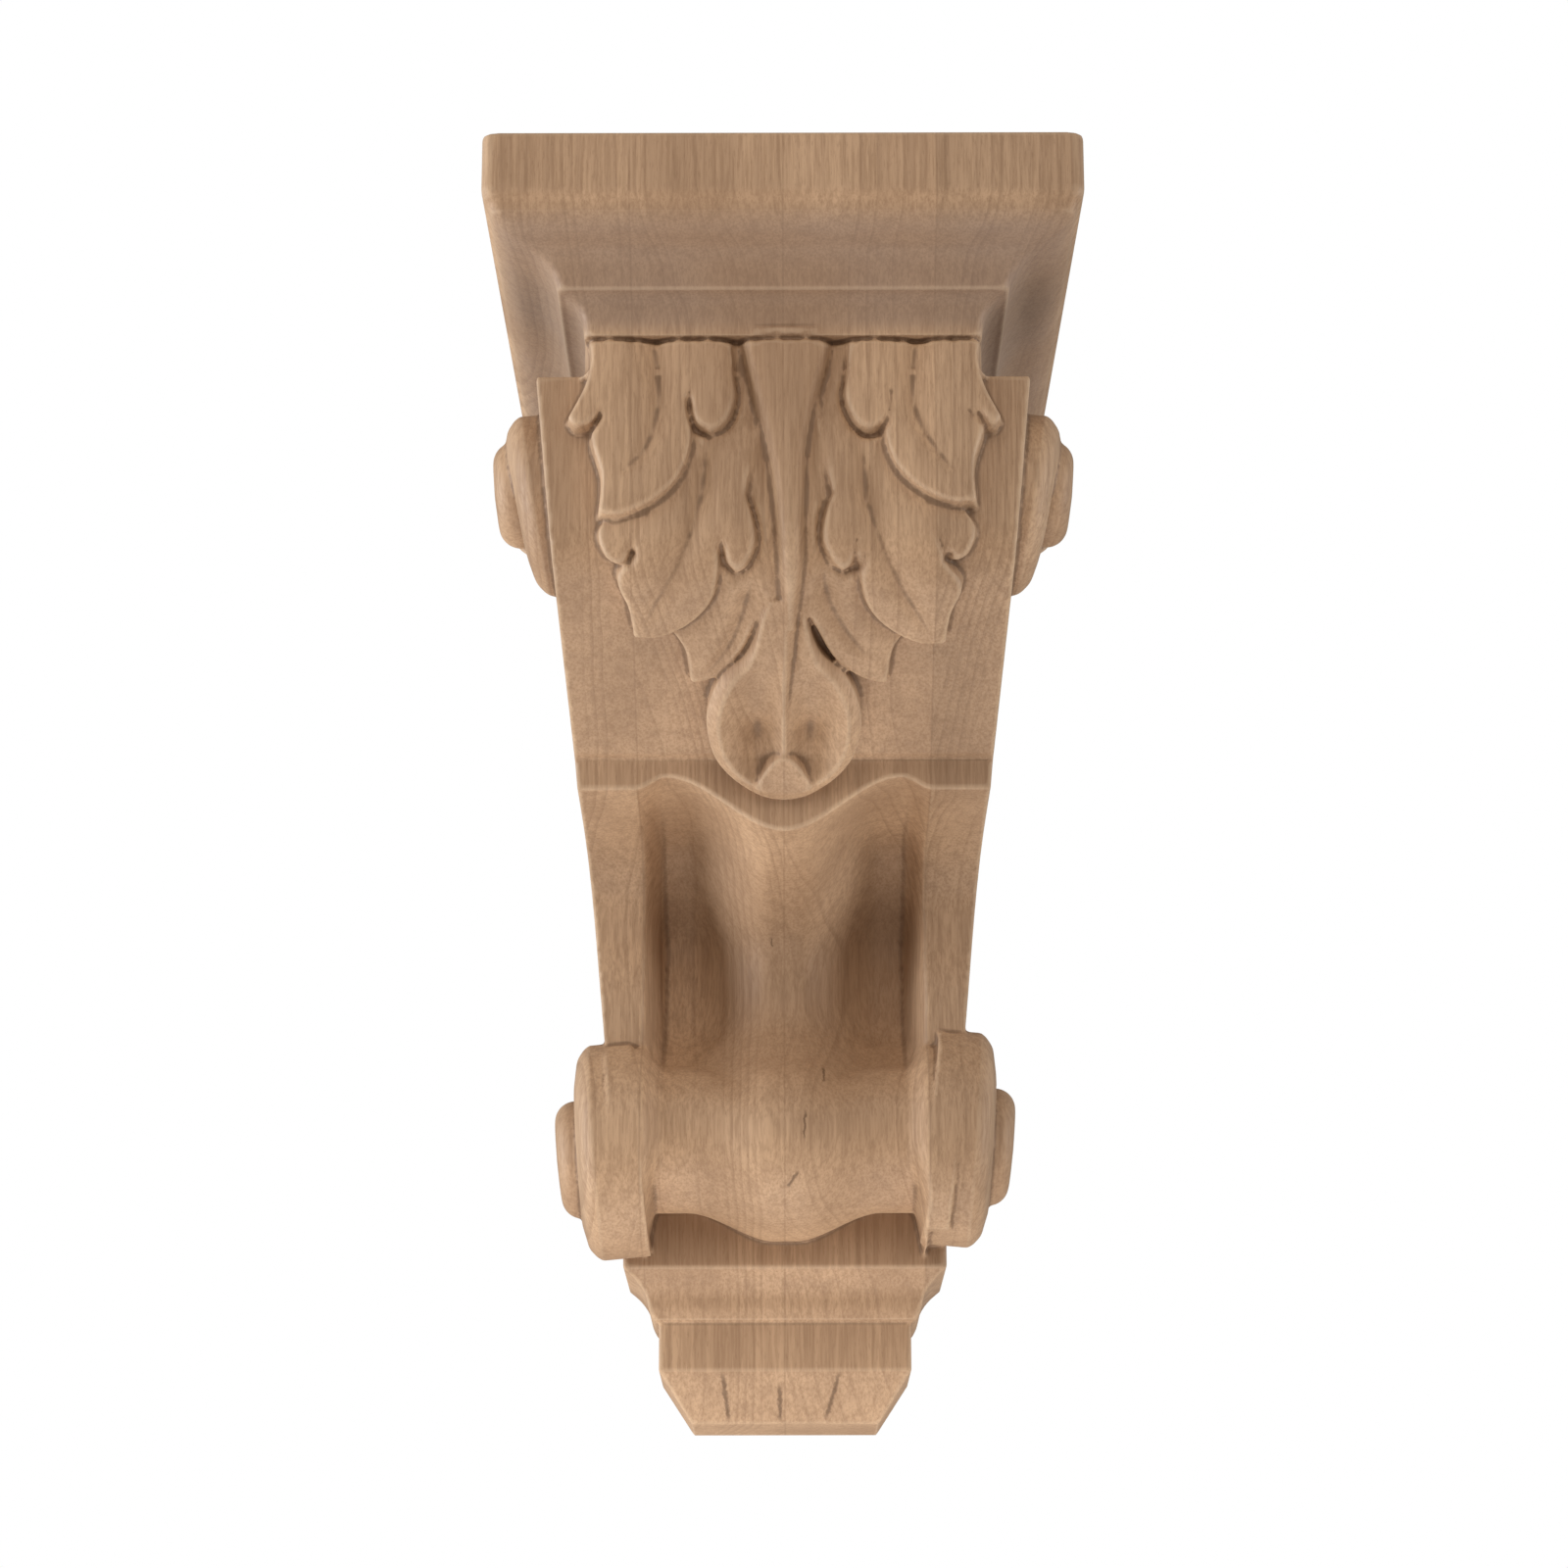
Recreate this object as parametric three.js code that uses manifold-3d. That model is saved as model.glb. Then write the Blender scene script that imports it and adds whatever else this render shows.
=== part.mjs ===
// A carved corbel bracket, in millimetres. One block of wood, glued up from four upright boards and
// then carved: a moulded cap, a leaf on a bent panel, a scooped hollow, a lower roll and a small
// moulded foot. The origin is the middle of the flat back, which goes against the wall.
// +X is to the right, -Y is out of the wall and +Z is up.

import * as THREE from 'three';
import { mergeVertices } from 'three/addons/utils/BufferGeometryUtils.js';
import Module from 'manifold-3d';

const wasm = await Module();
wasm.setup();

// Overall block
const height = 254;
const capWidth = 127;
const capProjection = 178;

// Cap: a flat fascia over a cyma and a small round
const fasciaHeight = 15;
const cymaDrop = 14.2;
const cymaInset = 15.4;
const quirkInset = 1.6;
const quirkDrop = 0.3;
const roundDrop = 8.3;
const roundInset = 4;
const neckDrop = 7.5;

// Body: sides that taper towards the foot
const shoulderWidth = 105.9;
const bodyFootWidth = 73.6;

// Panel behind the leaf: upright, then bent back towards the wall
const panelUpright = 31.5;
const panelBendRadius = 16;
const panelSlope = THREE.MathUtils.degToRad(36);
const panelSlopeLength = 46;
const leafRelief = 4.6;

// Leaf carving
const stemDepth = 3;
const stemWidth = 3.4;
const veinDepth = 2.6;
const veinWidth = 3.6;
const dropLength = 45.5;
const dropStart = 60;
const dropThickness = 7;
const dropDish = 3.4;
const dropProud = 4;
const dropBelowLedge = 12.5;

// Ledge under the panel, and the band below it
const ledgeStep = 2.2;
const bandHeight = 7.5;

// Hollow between the two side borders
const hollowWidth = 65;
const hollowDepth = 43;
const ridgeDepth = 60;
const borderDepth = 59.7;
const apronDrop = 9.3;
const archRise = 2.8;
const apronClearance = 0.3;

// Lower roll
const rollRadius = 21;
const rollProjection = 77;
const rollAboveFoot = 61;

// Foot: a band, a cove, a small block and a chamfered end
const footBandWidth = 74.4;
const footBandProjection = 40.9;
const footBandHeight = 4.4;
const coveDrop = 11.6;
const coveInset = 6.9;
const footStepInset = 1.2;
const footBlockHeight = 11;
const chamferDrop = 11.5;
const chamferInset = 7.5;

// Scrolls on the sides, raised from the tapered side planes
const upperScrollRadius = 20;
const upperScrollSetback = 22;
const upperScrollDrop = 66.5;
const lowerScrollRadius = 24.5;
const upperEyeRadius = 11.6;
const lowerEyeRadius = 13.4;
const upperEyeRise = 11.4;
const lowerEyeRise = 13;
const eyeRounding = 4.6;
const eyeCrown = 0.4;
const scrollBevel = 3;

// Slivers thinner than this are taken off where the pieces meet
const faceTolerance = 0.03;

// Sizes that follow from the ones above
const top = height / 2;
const bottom = -height / 2;
const fasciaBottom = top - fasciaHeight;
const cymaBottom = fasciaBottom - cymaDrop;
const roundBottom = cymaBottom - roundDrop;
const shoulder = roundBottom - neckDrop;
const capInset = cymaInset + quirkInset + roundInset;
const neckWidth = capWidth - 2 * capInset;
const leafFace = capProjection - capInset;
const panelFace = leafFace - leafRelief;
const footBlockTop = bottom + chamferDrop + footBlockHeight;
const footBandTop = footBlockTop + coveDrop + footBandHeight;
const footBandBottom = footBlockTop + coveDrop;
const rollCentreZ = bottom + rollAboveFoot;
const rollCentreY = rollProjection - rollRadius;
const taper = (shoulderWidth - bodyFootWidth) / 2 / (shoulder - footBandTop);

function sideAt(z) {
  return bodyFootWidth / 2 + taper * (z - footBandTop);
}

// Meshes and solids

function solidFrom(geometry) {
  const bare = geometry.clone();
  bare.deleteAttribute('normal');
  bare.deleteAttribute('uv');
  const merged = mergeVertices(bare, 1e-4);
  const index = merged.index.array;
  const kept = [];
  for (let i = 0; i < index.length; i += 3) {
    const [a, b, c] = [index[i], index[i + 1], index[i + 2]];
    if (a !== b && b !== c && c !== a) kept.push(a, b, c);
  }
  const vertProperties = new Float32Array(merged.attributes.position.array);
  const facing = (triVerts) => new wasm.Manifold(new wasm.Mesh({ numProp: 3, vertProperties, triVerts }));
  const solid = facing(new Uint32Array(kept));
  return solid.volume() > 0 ? solid : facing(new Uint32Array(kept).reverse());
}

function geometryFrom(solid) {
  const mesh = solid.getMesh();
  const geometry = new THREE.BufferGeometry();
  geometry.setAttribute('position', new THREE.BufferAttribute(new Float32Array(mesh.vertProperties), 3));
  geometry.setIndex(new THREE.BufferAttribute(new Uint32Array(mesh.triVerts), 1));
  geometry.computeVertexNormals();
  return geometry;
}

// Triangles that close a flat ring of points, whatever its outline
function closing(ring) {
  const first = ring[0];
  const normal = new THREE.Vector3();
  ring.forEach((point, i) => {
    const next = ring[(i + 1) % ring.length];
    normal.add(point.clone().sub(first).cross(next.clone().sub(first)));
  });
  const along = ring[1].clone().sub(first).normalize();
  const across = normal.normalize().cross(along);
  const flat = ring.map((point) => point2(point.dot(along), point.dot(across)));
  return THREE.ShapeUtils.triangulateShape(flat, []);
}

// Joins closed rings of points, one after another, and closes both ends
function loft(rings) {
  const count = rings[0].length;
  const positions = rings.flat().flatMap((point) => point.toArray());
  const index = [];
  for (let ring = 0; ring < rings.length - 1; ring++) {
    for (let i = 0; i < count; i++) {
      const next = (i + 1) % count;
      const a = ring * count + i;
      const b = ring * count + next;
      index.push(a, b, b + count, a, b + count, a + count);
    }
  }
  const last = (rings.length - 1) * count;
  for (const [a, b, c] of closing(rings[0])) index.push(a, c, b);
  for (const [a, b, c] of closing(rings[rings.length - 1])) index.push(last + a, last + b, last + c);
  const geometry = new THREE.BufferGeometry();
  geometry.setAttribute('position', new THREE.Float32BufferAttribute(positions, 3));
  geometry.setIndex(index);
  return geometry;
}

// A slab from one side profile, whose points are (out from the wall, up)
function slab(profile, left, right) {
  const shape = new THREE.Shape(profile);
  const geometry = new THREE.ExtrudeGeometry(shape, { depth: right - left, bevelEnabled: false });
  const out = new THREE.Vector3(0, -1, 0);
  const up = new THREE.Vector3(0, 0, 1);
  const along = new THREE.Vector3(-1, 0, 0);
  geometry.applyMatrix4(new THREE.Matrix4().makeBasis(out, up, along));
  geometry.translate(right, 0, 0);
  return solidFrom(geometry);
}

function point2(a, b) {
  return new THREE.Vector2(a, b);
}

// A smooth run through a few points
function smooth(points, steps) {
  return new THREE.SplineCurve(points).getPoints(steps);
}

function arc(centre, radius, from, to, steps) {
  const points = [];
  for (let i = 0; i <= steps; i++) {
    const angle = from + ((to - from) * i) / steps;
    points.push(point2(centre.x + radius * Math.cos(angle), centre.y + radius * Math.sin(angle)));
  }
  return points;
}

// Mouldings that return round both sides: each point is (inset, height)
function mitredBlock(width, projection, profile) {
  const rings = profile.map(({ x: inset, y: z }) => {
    const side = width / 2 - inset;
    const front = -(projection - inset);
    return [
      new THREE.Vector3(-side, 0, z),
      new THREE.Vector3(-side, front, z),
      new THREE.Vector3(side, front, z),
      new THREE.Vector3(side, 0, z),
    ];
  });
  return solidFrom(loft(rings));
}

function makeCap() {
  const cyma = smooth([
    point2(0, fasciaBottom),
    point2(cymaInset * 0.1, fasciaBottom - cymaDrop * 0.12),
    point2(cymaInset * 0.34, fasciaBottom - cymaDrop * 0.34),
    point2(cymaInset * 0.7, fasciaBottom - cymaDrop * 0.5),
    point2(cymaInset * 0.9, fasciaBottom - cymaDrop * 0.72),
    point2(cymaInset, cymaBottom),
  ], 12);
  const roundStart = cymaInset + quirkInset;
  const round = smooth([
    point2(roundStart, cymaBottom - quirkDrop),
    point2(roundStart + roundInset * 0.5, cymaBottom - roundDrop * 0.2),
    point2(roundStart + roundInset * 0.84, cymaBottom - roundDrop * 0.5),
    point2(roundStart + roundInset, roundBottom),
  ], 6);
  const profile = [point2(0, top), ...cyma, ...round];
  return mitredBlock(capWidth, capProjection, profile.reverse());
}

// The neck carries the cap's sides down behind the shoulder of the body
function makeNeck() {
  const profile = [point2(0, shoulder - 4), point2(0, roundBottom + 2)];
  return mitredBlock(neckWidth, panelFace, profile);
}

function makeFoot() {
  const chamferEnd = coveInset + footStepInset + chamferInset;
  const cove = smooth([
    point2(0, footBandBottom),
    point2(coveInset * 0.42, footBandBottom - coveDrop * 0.22),
    point2(coveInset * 0.72, footBandBottom - coveDrop * 0.48),
    point2(coveInset * 0.84, footBandBottom - coveDrop * 0.76),
    point2(coveInset, footBlockTop + 0.5),
  ], 8);
  const profile = [
    point2(0, footBandTop + 12),
    ...cove,
    point2(coveInset + footStepInset, footBlockTop),
    point2(coveInset + footStepInset, footBlockTop - footBlockHeight),
    point2(chamferEnd, bottom),
  ];
  return mitredBlock(footBandWidth, footBandProjection, profile.reverse());
}

// The panel, measured down its own surface from the underside of the cap

const bendSweep = Math.PI / 2 - panelSlope;
const uprightLength = panelUpright + neckDrop;
const bendLength = panelBendRadius * bendSweep;
const bendTop = roundBottom - uprightLength;
const panelLength = uprightLength + bendLength + panelSlopeLength;

function panelPoint(down) {
  if (down <= uprightLength) {
    return { y: panelFace, z: roundBottom - down, outY: 1, outZ: 0 };
  }
  const turned = Math.min((down - uprightLength) / panelBendRadius, bendSweep);
  const outY = Math.cos(turned);
  const outZ = -Math.sin(turned);
  const y = panelFace - panelBendRadius * (1 - outY);
  const z = bendTop + panelBendRadius * outZ;
  const straight = Math.max(down - uprightLength - bendLength, 0);
  return { y: y + straight * outZ, z: z - straight * outY, outY, outZ };
}

const ledge = panelPoint(panelLength);
const bandFace = ledge.y - ledgeStep;
const bandBottom = ledge.z - bandHeight;

// The roll bulges at the front and flattens underneath, where it meets the foot
function rollFront(z) {
  const up = (z - rollCentreZ) / rollRadius;
  const lower = (z - rollCentreZ) / (rollCentreZ - footBandTop + 1.5);
  const reach = up > 0 ? Math.sqrt(Math.max(1 - up * up, 0)) : Math.sqrt(Math.max(1 - lower * lower, 0));
  return rollCentreY + rollRadius * reach;
}

function borderProfile() {
  const coveTop = point2(bandFace - 4, bandBottom - 0.6);
  const drop = bandBottom - rollCentreZ - rollRadius * 0.86;
  const cove = smooth([
    coveTop,
    point2(bandFace - (bandFace - borderDepth) * 0.66, bandBottom - drop * 0.08),
    point2(bandFace - (bandFace - borderDepth) * 0.93, bandBottom - drop * 0.22),
    point2(borderDepth, bandBottom - drop * 0.42),
    point2(borderDepth + 4, bandBottom - drop * 0.7),
    point2(borderDepth + 7.5, bandBottom - drop),
  ], 14);
  const roll = [];
  const rollTop = rollCentreZ + rollRadius * 0.84;
  const rollBottom = footBandTop + 0.6;
  for (let i = 0; i <= 12; i++) {
    const z = rollCentreZ + (rollTop - rollCentreZ) * Math.cos((Math.PI * i) / 12);
    const lowered = i > 6 ? rollCentreZ + (rollCentreZ - rollBottom) * Math.cos((Math.PI * i) / 12) : z;
    roll.push(point2(rollFront(lowered), lowered));
  }
  return [...cove, ...roll];
}

function makeBody() {
  const panel = [point2(panelFace, shoulder), point2(panelFace, bendTop)];
  for (let i = 1; i <= 5; i++) {
    const { y, z } = panelPoint(uprightLength + (bendLength * i) / 5);
    panel.push(point2(y, z));
  }
  const profile = [
    point2(0, shoulder),
    ...panel,
    point2(ledge.y, ledge.z),
    point2(bandFace, ledge.z - 0.8),
    point2(bandFace, bandBottom),
    ...borderProfile(),
    point2(footBandProjection - 2, footBandTop + 0.6),
    point2(footBandProjection - 2, footBandBottom + 2),
    point2(0, footBandBottom + 2),
  ];
  const blank = slab(profile, -capWidth / 2, capWidth / 2);
  const lowest = footBandBottom - 10;
  const outline = [
    [-sideAt(lowest), lowest],
    [sideAt(lowest), lowest],
    [sideAt(top), top],
    [-sideAt(top), top],
  ];
  const rings = [10, -capProjection - 10].map((y) => outline.map(([x, z]) => new THREE.Vector3(x, y, z)));
  return blank.intersect(solidFrom(loft(rings)));
}

// The hollow between the borders, as three sections from its rim down over the roll to the foot:
// a ridge down the middle that swells into the belly of the roll, a deeper channel on each side of
// it, and the borders' own line, which the hollow meets on the roll. Each point is (share of the
// height from the band to the foot, distance out from the wall).

const hollowHeight = bandBottom - footBandTop;
const ridgeLine = [
  [0.07, bandFace], [0.11, bandFace - 6], [0.13, bandFace - 13], [0.18, bandFace - 28],
  [0.26, ridgeDepth + 5], [0.37, ridgeDepth], [0.47, ridgeDepth + 1], [0.56, ridgeDepth + 7],
  [0.63, rollProjection - 4.5], [0.71, rollProjection - 0.5], [0.78, rollProjection + 0.5],
  [0.86, rollProjection - 1.5], [0.93, rollProjection - 7], [0.98, rollProjection - 16],
  [0.995, rollProjection - 26], [0.984, footBandProjection],
];
const channelLine = [
  [-0.03, bandFace], [-0.014, bandFace - 21], [0.012, hollowDepth + 21], [0.083, hollowDepth + 11.5],
  [0.212, hollowDepth + 0.5], [0.353, hollowDepth + 1], [0.474, hollowDepth + 4], [0.53, hollowDepth + 8],
  [0.571, rollProjection - 19], [0.607, rollProjection - 11], [0.672, rollProjection - 5.5],
  [0.754, rollProjection - 3.8], [0.831, rollProjection - 5.5], [0.896, rollProjection - 11],
  [0.938, rollProjection - 20], [0.902, footBandProjection],
];
const borderLine = [
  [0, bandFace], [0.003, bandFace - 5.5], [0.043, borderDepth + 16.5], [0.117, borderDepth + 2.4],
  [0.226, borderDepth + 0.5], [0.362, borderDepth + 4.5], [0.494, borderDepth + 8],
  [0.56, rollProjection - 9], [0.6, rollProjection - 4.9], [0.64, rollProjection - 2.2],
  [0.69, rollProjection - 0.3], [0.754, rollProjection + 0.5], [0.863, rollProjection - 1.4],
  [0.951, rollProjection - 6.6], [1.02, rollProjection - 14], [1.03, footBandProjection],
];
const underRoll = 13;

function ease(value) {
  const t = THREE.MathUtils.clamp(value, 0, 1);
  return t * t * (3 - 2 * t);
}

// Height of the rim, which dips under the drop and rises to a peak on each side
function rimHeight(across) {
  const peak = bandBottom + archRise;
  const dip = bandBottom - apronDrop;
  const peakAt = 0.8;
  if (across < peakAt) return dip + (peak - dip) * ease(across / peakAt);
  return bandBottom + archRise * (1 - ease((across - peakAt) / (1 - peakAt)));
}

// One upright section through the hollow, from rim to foot
function hollowSection(across) {
  const toChannel = ease((across - 0.12) / 0.6);
  return ridgeLine.map((ridgePoint, i) => {
    const scoopFrom = i < underRoll ? 0.72 : 0.88;
    const toBorder = ease((across - scoopFrom) / (1 - scoopFrom));
    const [share, out] = [0, 1].map((k) => {
      const carved = ridgePoint[k] + (channelLine[i][k] - ridgePoint[k]) * toChannel;
      return carved + (borderLine[i][k] - carved) * toBorder;
    });
    return { out, z: i === 0 ? rimHeight(across) : bandBottom - share * hollowHeight };
  });
}

function makeHollow() {
  const acrossSteps = [0, 0.14, 0.28, 0.4, 0.51, 0.62, 0.72, 0.8, 0.87, 0.94, 1];
  const columns = [...acrossSteps.slice(1).reverse().map((across) => -across), ...acrossSteps];
  const front = bandFace + 30;
  const low = footBandBottom;
  const rings = columns.map((signed) => {
    const x = (signed * hollowWidth) / 2;
    const section = hollowSection(Math.abs(signed));
    return [
      new THREE.Vector3(x, -front, section[0].z),
      ...section.map(({ out, z }) => new THREE.Vector3(x, -out, z)),
      new THREE.Vector3(x, -footBandProjection + 1, low),
      new THREE.Vector3(x, -front, low),
    ];
  });
  return solidFrom(loft(rings));
}

// Fills the space above the dipping rim, back to the wall, before the hollow is cut
function makeApron() {
  const low = bandBottom - apronDrop;
  const profile = [
    point2(0, ledge.z - 2),
    point2(bandFace, ledge.z - 2),
    point2(bandFace, low),
    point2(ridgeDepth + 8, low - 20),
    point2(rollProjection + 2, rollCentreZ + 8),
    point2(rollProjection + 2, rollCentreZ - 16),
    point2(rollCentreY, footBandTop - 2),
    point2(0, footBandTop - 2),
  ];
  const half = hollowWidth / 2 - apronClearance;
  return slab(profile, -half, half);
}

// The leaf, laid out flat. A point is (out from the leaf's middle, down the panel). Each lobe has an
// outer stretch down to its tip and a lower stretch back up to the next lobe, and then closes under
// its neighbours. Its face rises from the first height to the second between the two levels. The
// right half was carved a little further out, by the shift.

const lobes = [
  {
    outer: [[42, -2], [41.3, 5.5], [42.6, 11.5], [46, 18.6]],
    lower: [[46, 18.6], [42.6, 19.8], [38.9, 18.2]],
    root: [[33, 8], [32, -2]],
    levels: [0, 4.6, 19, 5.4],
    shift: [0.6, 0],
  },
  {
    outer: [[38.9, 18.2], [41, 23], [38.8, 31.5], [39.2, 40]],
    lower: [[39.2, 40], [34, 40.2], [27.5, 37.4], [21.5, 31], [19.2, 23], [20.1, 15]],
    root: [[17, -2], [38, -2]],
    levels: [0, 4.6, 38, 5.6],
    shift: [1.8, -2.4],
  },
  {
    outer: [[20.1, 15], [19, 18.4], [15.6, 21]],
    lower: [[15.6, 21], [12.6, 19.6], [9.7, 14], [10.8, 8]],
    root: [[11.4, -2], [24, -2]],
    levels: [0, 4.6, 21, 5.4],
    shift: [3, 1],
  },
  {
    outer: [[35.8, 39.5], [38.6, 45], [36.6, 48.6]],
    lower: [[36.6, 48.6], [34.4, 48.6], [31.6, 46.4]],
    root: [[26, 40], [30, 32]],
    levels: [38, 2.6, 49, 4.8],
    shift: [3, -0.4],
  },
  {
    outer: [[31.6, 46.4], [35.4, 51], [33.2, 58], [32.2, 65.6]],
    lower: [[32.2, 65.6], [26, 65.2], [19.4, 61], [14, 54.5], [13.4, 46.2]],
    root: [[8.4, 28], [9.6, 12], [9.4, -2], [16, -2], [24, 26], [31, 36]],
    levels: [14, 2.6, 64, 5.2],
    shift: [3, 2.4],
  },
  {
    outer: [[13.4, 46.2], [12, 49.4], [9, 50.8]],
    lower: [[9, 50.8], [6.2, 47.4], [5.6, 41], [7.6, 35]],
    root: [[7.6, 22], [15, 30]],
    levels: [22, 2.8, 50, 4.8],
    shift: [3, 0.4],
  },
  {
    outer: [[24.6, 65], [21.4, 70], [20.2, 78.6]],
    lower: [[20.2, 78.6], [15, 77], [9.2, 71.5], [5.2, 62.5]],
    root: [[3.4, 48], [3, 20], [4, -2], [10, -2], [10, 34], [14, 50], [25, 58]],
    levels: [30, 3, 76, 4.6],
    shift: [2.6, 0.4],
  },
];

// Grooves from the cap down each lobe, and beside the stem; the shift is their lobe's
const veins = [
  { run: [[27.4, -3], [26.4, 11], [27.6, 20], [30.4, 26.5], [35.4, 32.6]], shift: [1.8, -1.2] },
  { run: [[16, 23], [16.4, 32], [18.2, 40], [23.4, 50], [29, 61.2]], shift: [2.4, 0.6] },
  { run: [[7.2, 48], [8.4, 57], [11, 64.4], [17.4, 75]], shift: [2.6, 0.4] },
];
const stem = [[8.8, -3], [5.8, 12], [3.6, 22], [2, 34], [1.1, 46], [0.5, 62]];
const stemShift = [2.8, 0];

function placed([across, down], side, shift) {
  const [dx, ds] = side > 0 ? shift : [0, 0];
  return point2(side * (across + dx), down + ds);
}

function stretch(points, side, shift) {
  const corners = points.map((point) => placed(point, side, shift));
  return smooth(corners, (points.length - 1) * 3);
}

// A prism over a flat outline, with its face at the height that the given function states
function relief(outline, faceHeight) {
  const sunk = -3;
  const geometry = new THREE.ExtrudeGeometry(new THREE.Shape(outline), { depth: 1, bevelEnabled: false });
  const position = geometry.attributes.position;
  for (let i = 0; i < position.count; i++) {
    const raised = position.getZ(i) > 0.5;
    position.setZ(i, raised ? faceHeight(position.getX(i), position.getY(i)) : sunk);
  }
  return solidFrom(geometry);
}

function makeLobe({ outer, lower, root, levels, shift }, side) {
  const outline = [
    ...stretch(outer, side, shift),
    ...stretch(lower, side, shift).slice(1),
    ...root.map((point) => placed(point, side, shift)),
  ];
  const [from, low, to, high] = levels;
  return relief(outline, (x, down) => {
    const share = THREE.MathUtils.clamp((down - from) / (to - from), 0, 1.1);
    return low + (high - low) * share;
  });
}

// A groove with a V section that runs out at both ends
function groove(points, width, depth) {
  const steps = (points.length - 1) * 3;
  const run = smooth(points, steps);
  const above = 3;
  const rings = run.map((point, i) => {
    const along = run[Math.min(i + 1, steps)].clone().sub(run[Math.max(i - 1, 0)]).normalize();
    const share = i / steps;
    const swell = 0.25 + 0.75 * Math.min(share * 5, 1, (1 - share) * 1.6);
    const cut = depth * swell;
    const half = (width / 2) * swell * ((cut + above) / cut);
    const floor = leafRelief - cut;
    const open = leafRelief + above;
    return [
      new THREE.Vector3(point.x - along.y * half, point.y + along.x * half, open),
      new THREE.Vector3(point.x + along.y * half, point.y - along.x * half, open),
      new THREE.Vector3(point.x, point.y, floor),
    ];
  });
  return solidFrom(loft(rings));
}

// Cuts every triangle that crosses one level down the panel, so that the mesh can bend there
function splitAcross(vertices, triangles, level) {
  const cuts = new Map();
  const cut = (a, b) => {
    const key = a < b ? `${a} ${b}` : `${b} ${a}`;
    if (!cuts.has(key)) {
      const [low, high] = a < b ? [a, b] : [b, a];
      const share = (level - vertices[low].y) / (vertices[high].y - vertices[low].y);
      cuts.set(key, vertices.push(vertices[low].clone().lerp(vertices[high], share)) - 1);
    }
    return cuts.get(key);
  };
  const sideOf = (i) => (Math.abs(vertices[i].y - level) < 0.01 ? 0 : Math.sign(vertices[i].y - level));
  return triangles.flatMap((triangle) => {
    const sides = triangle.map(sideOf);
    if (!sides.includes(1) || !sides.includes(-1)) return [triangle];
    const onLevel = sides.indexOf(0);
    const lone = onLevel >= 0 ? onLevel : sides.findIndex((s) => sides.filter((t) => t === s).length === 1);
    const [a, b, c] = [0, 1, 2].map((i) => triangle[(lone + i) % 3]);
    if (onLevel >= 0) {
      const middle = cut(b, c);
      return [[a, b, middle], [a, middle, c]];
    }
    const ab = cut(a, b);
    const ac = cut(a, c);
    return [[a, ab, ac], [ab, b, c], [ab, c, ac]];
  });
}

function bendOntoPanel(flat) {
  const mesh = flat.getMesh();
  const vertices = [];
  for (let i = 0; i < mesh.vertProperties.length; i += 3) {
    vertices.push(new THREE.Vector3().fromArray(mesh.vertProperties, i));
  }
  let triangles = [];
  for (let i = 0; i < mesh.triVerts.length; i += 3) {
    triangles.push([...mesh.triVerts.slice(i, i + 3)]);
  }
  const bends = 4;
  for (let i = 0; i <= bends; i++) {
    triangles = splitAcross(vertices, triangles, uprightLength + (bendLength * i) / bends);
  }
  const bent = vertices.map(({ x, y: down, z: raised }) => {
    const { y, z, outY, outZ } = panelPoint(down);
    return [x, -(y + raised * outY), z + raised * outZ];
  });
  const geometry = new THREE.BufferGeometry();
  geometry.setAttribute('position', new THREE.Float32BufferAttribute(bent.flat(), 3));
  geometry.setIndex(triangles.flat());
  return solidFrom(geometry);
}

function makeLeaf() {
  const stemFace = relief(
    [point2(-9, -2), point2(12, -2), point2(8, 20), point2(4, 60), point2(-1, 60), point2(-5, 20)],
    () => leafRelief,
  );
  let leaf = stemFace;
  for (const side of [-1, 1]) {
    for (const lobe of lobes) leaf = leaf.add(makeLobe(lobe, side));
  }
  for (const side of [-1, 1]) {
    for (const { run, shift } of veins) {
      const points = run.map((point) => placed(point, side, shift));
      leaf = leaf.subtract(groove(points, veinWidth, veinDepth));
    }
    const points = stem.map((point) => placed(point, side, stemShift));
    leaf = leaf.subtract(groove(points, stemWidth, stemDepth));
  }
  return bendOntoPanel(leaf);
}

// The drop at the leaf's end hangs straight, from the stem to in front of the band, and is dished
// on each side of a middle ridge, with a small crescent at its lip.

const dropHalf = [
  [5, 0], [7.4, 9], [11.6, 14], [15.6, 20], [16.7, 27], [14.6, 35], [9.4, 41], [4.4, 44.4],
];
const dropMiddle = 26;
const dropBevel = 1.2;
const dropRim = 0.84;

// How far the face of the drop is dished, at one distance from its middle and one down its length
function dishAt(across, down) {
  const low = ease((down - 12) / 14) * ease((dropLength - 3 - down) / 8);
  const hollow = Math.sin(Math.PI * Math.min(Math.abs(across) / 13.5, 1)) ** 1.4;
  return -dropDish * low * hollow;
}

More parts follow.
